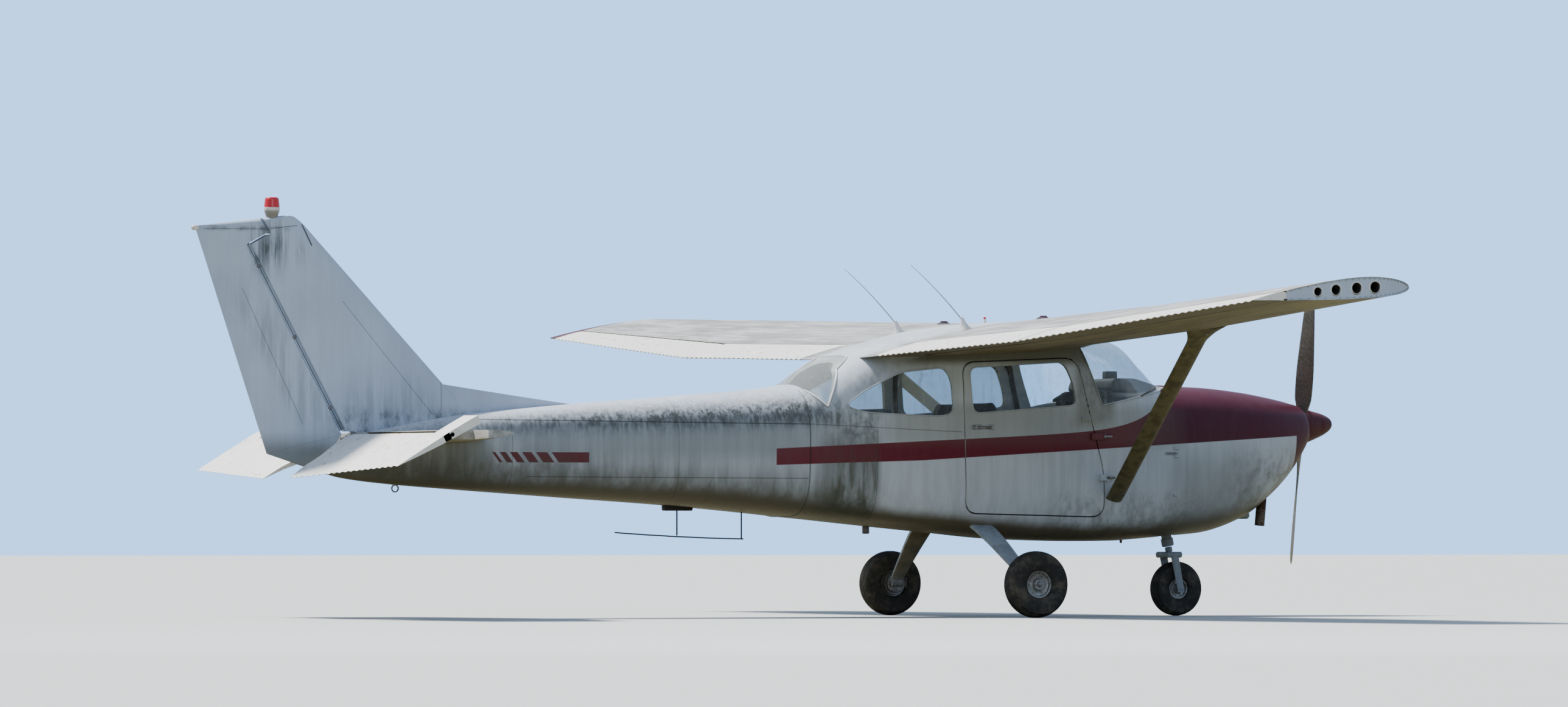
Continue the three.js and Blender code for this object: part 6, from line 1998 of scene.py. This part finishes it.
@dataclass
class Propulsion(Assembly):
    """Propeller, spinner, exhaust and what shows of the engine."""

    hub: tuple = (1.114, 0.0, 1.262)
    turn: float = math.radians(17)

    def build(self) -> None:
        """Builds the propulsion unit."""
        self.axis = np.array([math.cos(NOSE_UP), 0, math.sin(NOSE_UP)])
        self.disc_up = np.array([-math.sin(NOSE_UP), 0, math.cos(NOSE_UP)])
        blades = self.blade(self.turn) + self.blade(self.turn + math.pi)
        core = turned([(-38, 55), (-35, 62), (44, 62), (48, 58)], self.hub, self.axis, 40)
        self.show((blades + core).thing("propeller_blades"), Paint.BLADE, "blade", "propeller",
                  ["propeller"])
        self.spinner()
        self.exhaust()
        self.dress(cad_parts["engine_block"], Paint.ENGINE)

    def blade(self, turn: float) -> Shell:
        """A twisted blade: flat-backed sections turned by their pitch, with a rounded tip."""
        rows = np.array([[0, 80, 50, 44], [110, 84, 46, 42], [200, 122, 36, 38], [380, 134, 25, 30],
                         [620, 118, 16, 22], [850, 88, 10, 17], [940, 66, 7, 15.5],
                         [965, 36, 5, 15]])
        end = np.sin(np.linspace(0, math.pi / 2, 10))
        radius = np.concatenate([np.linspace(0.03, 0.9, 46), 0.9 + 0.065 * end[1:]])
        chord, thick, pitch = smooth_table(rows * [MM, MM, MM, 1], radius).T[:, :, None]
        tip = np.concatenate([np.ones(46), np.sqrt(np.clip(1 - end[1:] ** 2, 0.01, 1))])[:, None]
        chord = np.where(radius[:, None] > 0.9, 0.076 * tip, chord)
        out = self.disc_up * math.cos(turn) + np.array([0, -math.sin(turn), 0])
        leading = unit(np.cross(self.axis, out))
        lean = np.radians(pitch)[..., None]
        across = leading * np.cos(lean) + self.axis * np.sin(lean)
        through = self.axis * np.cos(lean) - leading * np.sin(lean)
        run, rise = circle(36)
        camber = np.where(rise > 0, 1.0, 0.42 + 0.58 * np.exp(-((radius[:, None]) / 0.16) ** 2))
        body = rise * camber * (0.8 + 0.2 * run)
        middle = (np.array(self.hub) + out * radius[:, None])[:, None]
        return loft(middle + (run * chord / 2)[..., None] * across
                    + (body * thick / 2)[..., None] * through)

    def spinner(self) -> None:
        """The spinner: a turned cone with a blunt tip, slotted for the blades."""
        rows = np.array([[-35, 125], [0, 119], [46, 107], [98, 91], [145, 75], [182, 58], [208, 41],
                         [219, 29], [225, 18.5], [228.5, 9]]) * MM
        at = 0.2285 - 0.2635 * np.linspace(1, 0, 44) ** 1.5
        cone = [(float(a), float(r)) for a, r in zip(at, smooth_table(rows, at)[:, 0])]
        shell = revolve([(-0.035, 0.118), *cone, (0.2296, 0.005), (0.23, 0.0015)], self.hub,
                        self.axis, 64).thing("spinner_cone")
        way = self.disc_up * math.cos(self.turn) + np.array([0, -math.sin(self.turn), 0])
        slot = block(self.hub, (0.104, 0.098, 0.4), 0.012,
                     np.stack([self.axis, unit(np.cross(way, self.axis)), way]))
        cut(shell, [turned([(-60, 62.5), (48.5, 62.5)], self.hub, self.axis, 40), slot])
        self.show(shell, Paint.SPINNER, "cowl_skin", "propeller", ["spinner"])
        spots = []
        for k in range(10):
            turn = (k + 0.5) * math.pi / 5
            spoke = self.disc_up * math.cos(turn) + np.array([0, math.sin(turn), 0])
            spots.append(turned([(-1, 4), (1.5, 4), (2, 3)],
                                np.array(self.hub) + self.axis * -0.022 + spoke * 0.1225,
                                spoke + self.axis * 0.2, 8))
        self.show(joined(spots).thing("spinner_screws"), Paint.STEEL, "gear_steel", "propeller")

    def exhaust(self) -> None:
        """The exhaust stub under the cowling: a pipe with a rolled lip, open below."""
        foot, top = np.array([0.69, -0.205, 0.598]), np.array([0.714, -0.205, 0.86])
        long = float(np.linalg.norm(top - foot))
        wall = [(0.0, 0.0285), (-0.001, 0.031), (0.001, 0.0335), (0.006, 0.033), (0.09, 0.033),
                (long - 0.022, 0.033), (long - 0.022, 0.0285)]
        pipe = revolve(wall, foot, top - foot, 36, End.JOINED)
        plug = turned([(85, 29), (90, 29)], foot, top - foot, 36)
        self.show((pipe + plug).thing("exhaust_stub"), Paint.EXHAUST, "exhaust",
                  replaces=["exhaust_pipe"])


@dataclass
class Cabin(Assembly):
    """What shows through the windows: seats, panel, control wheels and lining."""

    def build(self) -> None:
        """Builds the cabin's furniture."""
        self.dress(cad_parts["firewall"], Paint.LINING)
        self.dress(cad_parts["cabin_floor"], Paint.CARPET)
        for name, side in SIDES:
            middle = side * 0.2475
            self.frame(f"seat_front_{name}_frame", -1.145, middle, 0.4, 0.785,
                       [f"seat_front_{name}"])
            self.pad(f"seat_front_{name}_cushion", (-1.09, middle, 0.862), (0.43, 0.385, 0.105),
                     0.06)
            self.pad(f"seat_front_{name}_back", (-1.372, middle, 1.165), (0.5, 0.365, 0.085),
                     math.radians(94.0))
        self.frame("seat_rear_frame", -1.86, 0.0, 0.84, 0.78, ["seat_rear"])
        self.pad("seat_rear_cushion", (-1.83, 0.0, 0.866), (0.36, 0.8, 0.1), 0.03)
        self.pad("seat_rear_back", (-2.08, 0.0, 1.145), (0.46, 0.76, 0.085), math.radians(97.0))
        self.panel()

    def frame(self, name: str, x: float, y: float, wide: float, top: float,
              nodes: Sequence[str]) -> None:
        """Seat legs and rails under a pan."""
        parts = [block((x, y, top - 0.012), (0.42, wide - 0.02, 0.024), 0.006)]
        for dy in (-1, 1):
            edge = y + dy * (wide / 2 - 0.045)
            parts.append(block((x, edge, 0.641), (0.46, 0.03, 0.02), 0.004))
            for dx in (-0.15, 0.15):
                parts.append(tube(np.array([(x + dx, edge, 0.65), (x + dx * 0.75, edge, 0.7),
                                            (x + dx * 0.7, edge, top - 0.02)]), 0.012, 12,
                                  up=(0.3, 1, 0)))
        self.show(joined(parts).thing(name), Paint.STEEL, "gear_steel", replaces=nodes)

    def pad(self, name: str, centre: tuple, size: tuple, lean: float) -> None:
        """A cushion: a squared pillow that cloth simulation swells, with sewn channels after.

        Args:
            name: The piece's name.
            centre: Its middle.
            size: Length, width and thickness.
            lean: How far it leans back from level.
        """
        long, wide, thick = size
        u = np.linspace(-1, 1, 34)
        c, s = circle(44)
        reach = squared(c, s, 5)
        draw = (1 - np.abs(u) ** 8 * 0.9)[:, None] ** 0.5
        crown = 0.82 + 0.18 * np.sqrt(np.clip(1 - (np.abs(c) * reach) ** 4, 0, 1))
        y = reach * c * (wide / 2) * (0.82 + 0.18 * draw)
        z = reach * s * (thick / 2) * draw * crown
        x = np.broadcast_to(u[:, None] * long / 2 * 0.97, y.shape)
        piece = loft(np.stack([x, y, z], -1)).thing(name)
        self.swell(piece)
        local = read_points(piece.data)
        channel = np.exp(-(((local[:, 1] / (wide / 5)) % 1 - 0.5) / 0.055) ** 2)
        inner = np.clip((0.44 - np.abs(local[:, 0] / long)) / 0.05, 0, 1)
        local[:, 2] *= 1 - 0.16 * channel * inner
        local = swung(local, (0, 0, 0), -lean) + centre
        write_points(piece.data, local)
        smooth = piece.modifiers.new("smooth", "SUBSURF")
        smooth.levels = smooth.render_levels = 1
        self.show(piece, Paint.CLOTH, "seat_cloth", sharp=80)

    def swell(self, piece: Thing) -> None:
        """Remeshes a cushion evenly and blows it up a little as cloth, without gravity."""
        even = piece.modifiers.new("even", "REMESH")
        even.mode, even.voxel_size = "VOXEL", 0.009
        mesh = finished(piece)
        piece.modifiers.clear()
        piece.data = mesh
        rest = read_points(mesh)
        cloth = piece.modifiers.new("cloth", "CLOTH")
        cloth.settings.use_pressure = True
        cloth.settings.uniform_pressure_force = 4.0
        cloth.settings.effector_weights.gravity = 0.0
        cloth.settings.quality = 5
        cloth.point_cache.frame_start, cloth.point_cache.frame_end = 1, 14
        scene = bpy.context.scene
        for step in range(1, 15):
            scene.frame_set(step)
        swollen = finished(piece)
        step = read_points(swollen) - rest
        far = np.linalg.norm(step, axis=1, keepdims=True)
        step *= np.minimum(1, 0.012 / np.maximum(far, 1e-6))
        piece.modifiers.clear()
        write_points(piece.data, rest + step)
        bpy.data.meshes.remove(swollen)
        scene.frame_set(1)

    def panel(self) -> None:
        """Instrument panel with round dials, a padded shelf, and two control wheels."""
        outline = rounded([(-440, 1100), (-440, 1440), (-330, 1486), (330, 1486), (440, 1440),
                           (440, 1100)], 60)
        face = prism(outline, -0.5, -0.478, axis=0)
        t = np.linspace(-1, 1, 30)
        depth = np.linspace(0, 1, 12)
        x = -0.515 + 0.29 * depth[:, None] + 0 * t
        y = (0.455 - 0.05 * depth[:, None]) * t
        z = 1.492 - 0.055 * np.abs(t) ** 2.6 + 0.018 * depth[:, None]
        upper = np.stack([x, y, z], -1)
        lower = upper - [0, 0, 0.018]
        shelf = loft(np.concatenate([upper, lower[:, ::-1]], 1))
        side_line = rounded([(-478, 1486), (-452, 1566), (-300, 1566), (-150, 1524), (-120, 1486)],
                            30)
        hood = prism(side_line, -0.31, 0.31)
        box = block((-0.345, -0.05, 1.59), (0.085, 0.06, 0.055), 0.008)
        piece = (face + shelf + hood + box).thing("panel_and_shelf")
        self.show(piece, Paint.DARK, "cabin_trim", replaces=["instrument_panel"])
        dials, faces = [], []
        for row, height in enumerate((1.385, 1.285, 1.19)):
            for k in range(7 - row):
                y = 0.355 - k * 0.105
                spot = (-0.5, y, height)
                dials.append(turned([(0, 43), (8, 43), (9, 40), (4, 37), (0, 37)],
                                    spot, (-1, 0, 0), 28, End.JOINED))
                faces.append(turned([(0, 37), (3, 36)], spot, (-1, 0, 0), 24))
        self.show(joined(dials).thing("dial_rims"), Paint.STEEL, "gear_steel")
        self.show(joined(faces).thing("dial_faces"), Paint.SEAL, "cabin_trim")
        for name, side in SIDES:
            hub = np.array([-0.64, side * 0.235, 1.275])
            arc = np.linspace(-0.78, 0.78, 13) * math.pi
            rim = np.stack([0 * arc, 0.14 * np.sin(arc), -0.05 - 0.075 * np.cos(arc)], -1)
            wheel = tube(through(hub + rim + [0, 0, 0.065], 40), 0.012, 12, up=(1, 0.1, 0.05))
            column = tube(np.array([(-0.49, side * 0.235, 1.262), (-0.56, side * 0.235, 1.268),
                                    hub]), 0.013, 16, up=(0, 1, 0.2))
            boss = block(hub - [0, 0, 0.02], (0.035, 0.1, 0.06), 0.012)
            self.show((wheel + column + boss).thing(f"control_wheel_{name}"), Paint.DARK,
                      "cabin_trim")


@dataclass
class Outside(Assembly):
    """Aerials, tail rods, a roof post and the small things under the body."""

    def build(self) -> None:
        """Builds the small outside pieces."""
        for name, side in SIDES:
            self.whip(name, side)
        self.rods()
        self.underside()

    def whip(self, name: str, side: float) -> None:
        """A swept whip aerial on a flared white foot."""
        foot, cone = np.array([-1.622, side * 0.5, 1.856]), np.array([-1.65, side * 0.5, 1.938])
        tip = np.array([-2.022, side * 0.5, 2.285])
        base = turned([(0, 46), (12, 43), (30, 29), (60, 17), (90, 11.5), (98, 8)], foot,
                      cone - foot, 28)
        piece = base.thing(f"whip_foot_{name}")
        self.show(piece, Paint.WHITE, "aerial", replaces=[f"antenna_{name}"])
        path = bent(cone + [0.004, 0, -0.01], tip, (0.004, 0, 0.012), 24)
        wire = tube(path, np.linspace(0.0042, 0.0018, 24), 8, up=(0, 1, 0.1))
        self.show(wire.thing(f"whip_wire_{name}"), Paint.WHITE, "aerial")

    def rods(self) -> None:
        """The rod frame under the tail cone."""
        parts = [tube(bent(a, b, (0, 0, 0.0), 6), 0.005, 8, up=(0, 1, 0.2)) for a, b in (
            ((-3.456, 0, 0.735), (-3.456, 0, 0.529)), ((-2.998, 0, 0.7), (-2.998, 0, 0.508)))]
        long = tube(bent((-3.893, 0, 0.549), (-2.985, 0, 0.508), (0, 0, -0.006), 20), 0.0045, 8,
                    up=(0, 1, 0.2))
        foot = block((-3.4535, 0, 0.713), (0.2, 0.062, 0.046), 0.01)
        self.show((parts[0] + parts[1] + long + foot).thing("tail_rods"), Paint.ROD, "aerial_rod",
                  replaces=["belly_antenna"])

    def underside(self) -> None:
        """Drain masts and the tie-down ring under the tail, and the post on the roof."""
        z = FORM.height(np.array([-5.42, -2.05, -0.3]), np.zeros(3), 0, False)
        ring = turned([(-4, 18), (4, 18), (4, 26), (-4, 26)],
                      (-5.42, 0, z[0] - 0.022), (0, 1, 0), 24, End.JOINED)
        mast = block((-2.05, 0.12, z[1] - 0.02), (0.05, 0.012, 0.06), 0.005)
        drain = turned([(0, 10), (30, 8)], (-0.3, -0.12, z[2] + 0.01), (0, 0, -1), 16)
        self.show((ring + mast + drain).thing("underside_fittings"), Paint.STEEL, "gear_steel")
        roof = FORM.height(np.array([-1.266]), np.array([0.05]))[0]
        post = turned([(-30, 11), (20, 10), (26, 8)], (-1.266, -0.05, roof), (0, 0, 1), 20)
        tip = turned([(25, 8.5), (36, 8), (41, 4)], (-1.266, -0.05, roof), (0, 0, 1), 20)
        self.show(post.thing("roof_post"), Paint.WHITE, "aerial")
        self.show(tip.thing("roof_post_tip"), Paint.LENS, "lens")


@dataclass
class Studio:
    """Floor, light and camera."""

    paints: dict[Paint, Material]
    camera_place: tuple = (-25.799, -50.0, 0.48)
    yaw: float = math.radians(24.802)
    pitch: float = math.radians(1.283)
    lens: float = 194.64
    sky: Colour = (0.36, 0.47, 0.66)
    backdrop: Colour = (0.78, 1.42, 2.5)
    floor_reach: float = 260.0
    tiles: int = 24

    def build(self) -> None:
        """Sets up the studio."""
        self.floor()
        self.lights()
        self.camera()

    def floor(self) -> None:
        """A wide, plain, level floor: a grid of squares."""
        u = np.linspace(-1, 1, self.tiles + 1) * self.floor_reach
        x, y = np.meshgrid(u, u, indexing="ij")
        index = np.arange(x.size).reshape(x.shape)
        quads = np.stack([index[:-1, :-1], index[1:, :-1], index[1:, 1:], index[:-1, 1:]], -1)
        shell = Shell(np.stack([x, y, 0 * x], -1).reshape(-1, 3), [quads.reshape(-1, 4)])
        floor = shell.thing("studio_floor")
        floor.data.materials.append(self.paints[Paint.GROUND])

    def lamp(self, name: str, kind: str, energy: float, colour: Colour, aim: Point,
             place: Point, size: float) -> None:
        """Adds one light that points from its place to its aim."""
        data = bpy.data.lights.new(name, kind)
        data.energy, data.color = energy, colour
        if kind == "SUN":
            data.angle = size
        else:
            data.shape, data.size = "DISK", size
        made = linked(name, data)
        made.location = Vector(tuple(np.add(place, SHIFT)))
        way = Vector(tuple(np.subtract(aim, place)))
        made.rotation_euler = way.to_track_quat("-Z", "Y").to_euler()

    def lights(self) -> None:
        """A soft high key from behind and to port, a cool fill, and a pale even surround."""
        self.lamp("key", "SUN", 8.5, (1.0, 0.97, 0.92), (0, 0, 0), (-6.0, 7.0, 14.0),
                  math.radians(10))
        self.lamp("fill", "AREA", 350.0, (0.8, 0.9, 1.0), (-2.5, 0, 1.2), (-9.0, -16.0, 7.0), 9.0)
        world = bpy.context.scene.world or bpy.data.worlds.new("surround")
        bpy.context.scene.world = world
        world.use_nodes = True
        nodes, links = world.node_tree.nodes, world.node_tree.links
        back = next(n for n in nodes if n.type == "BACKGROUND")
        seen = nodes.new("ShaderNodeLightPath")
        tone = nodes.new("ShaderNodeMix")
        tone.data_type = "RGBA"
        links.new(seen.outputs[0], tone.inputs[0])
        tone.inputs[6].default_value = (*self.sky, 1.0)
        tone.inputs[7].default_value = (*self.backdrop, 1.0)
        links.new(tone.outputs[2], back.inputs[0])
        back.inputs[1].default_value = 1.0

    def camera(self) -> None:
        """The camera stands far off to starboard and behind, close to the ground."""
        data = bpy.data.cameras.new("camera")
        data.lens, data.sensor_width, data.sensor_fit = self.lens, 36.0, "HORIZONTAL"
        data.clip_end = 1000.0
        made = linked("camera", data)
        made.location = Vector(tuple(np.add(self.camera_place, SHIFT)))
        way = Vector((math.sin(self.yaw) * math.cos(self.pitch),
                      math.cos(self.yaw) * math.cos(self.pitch), math.sin(self.pitch)))
        made.rotation_euler = way.to_track_quat("-Z", "Y").to_euler()
        bpy.context.scene.camera = made


def write_sizes() -> None:
    """Brings the view layer up to date."""
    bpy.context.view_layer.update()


def main() -> None:
    """Builds the aircraft, sub-assembly by sub-assembly, in its studio."""
    logging.basicConfig(level=logging.INFO, format="%(message)s")
    paints = {paint: paint.value.make() for paint in Paint}
    Studio(paints).build()
    for part in (Fuselage, Doors, Wings, Tail, Gear, Propulsion, Cabin, Outside):
        LOG.info("building %s", part.__name__)
        part(paints).build()
    write_sizes()


if __name__ == "__main__":
    main()
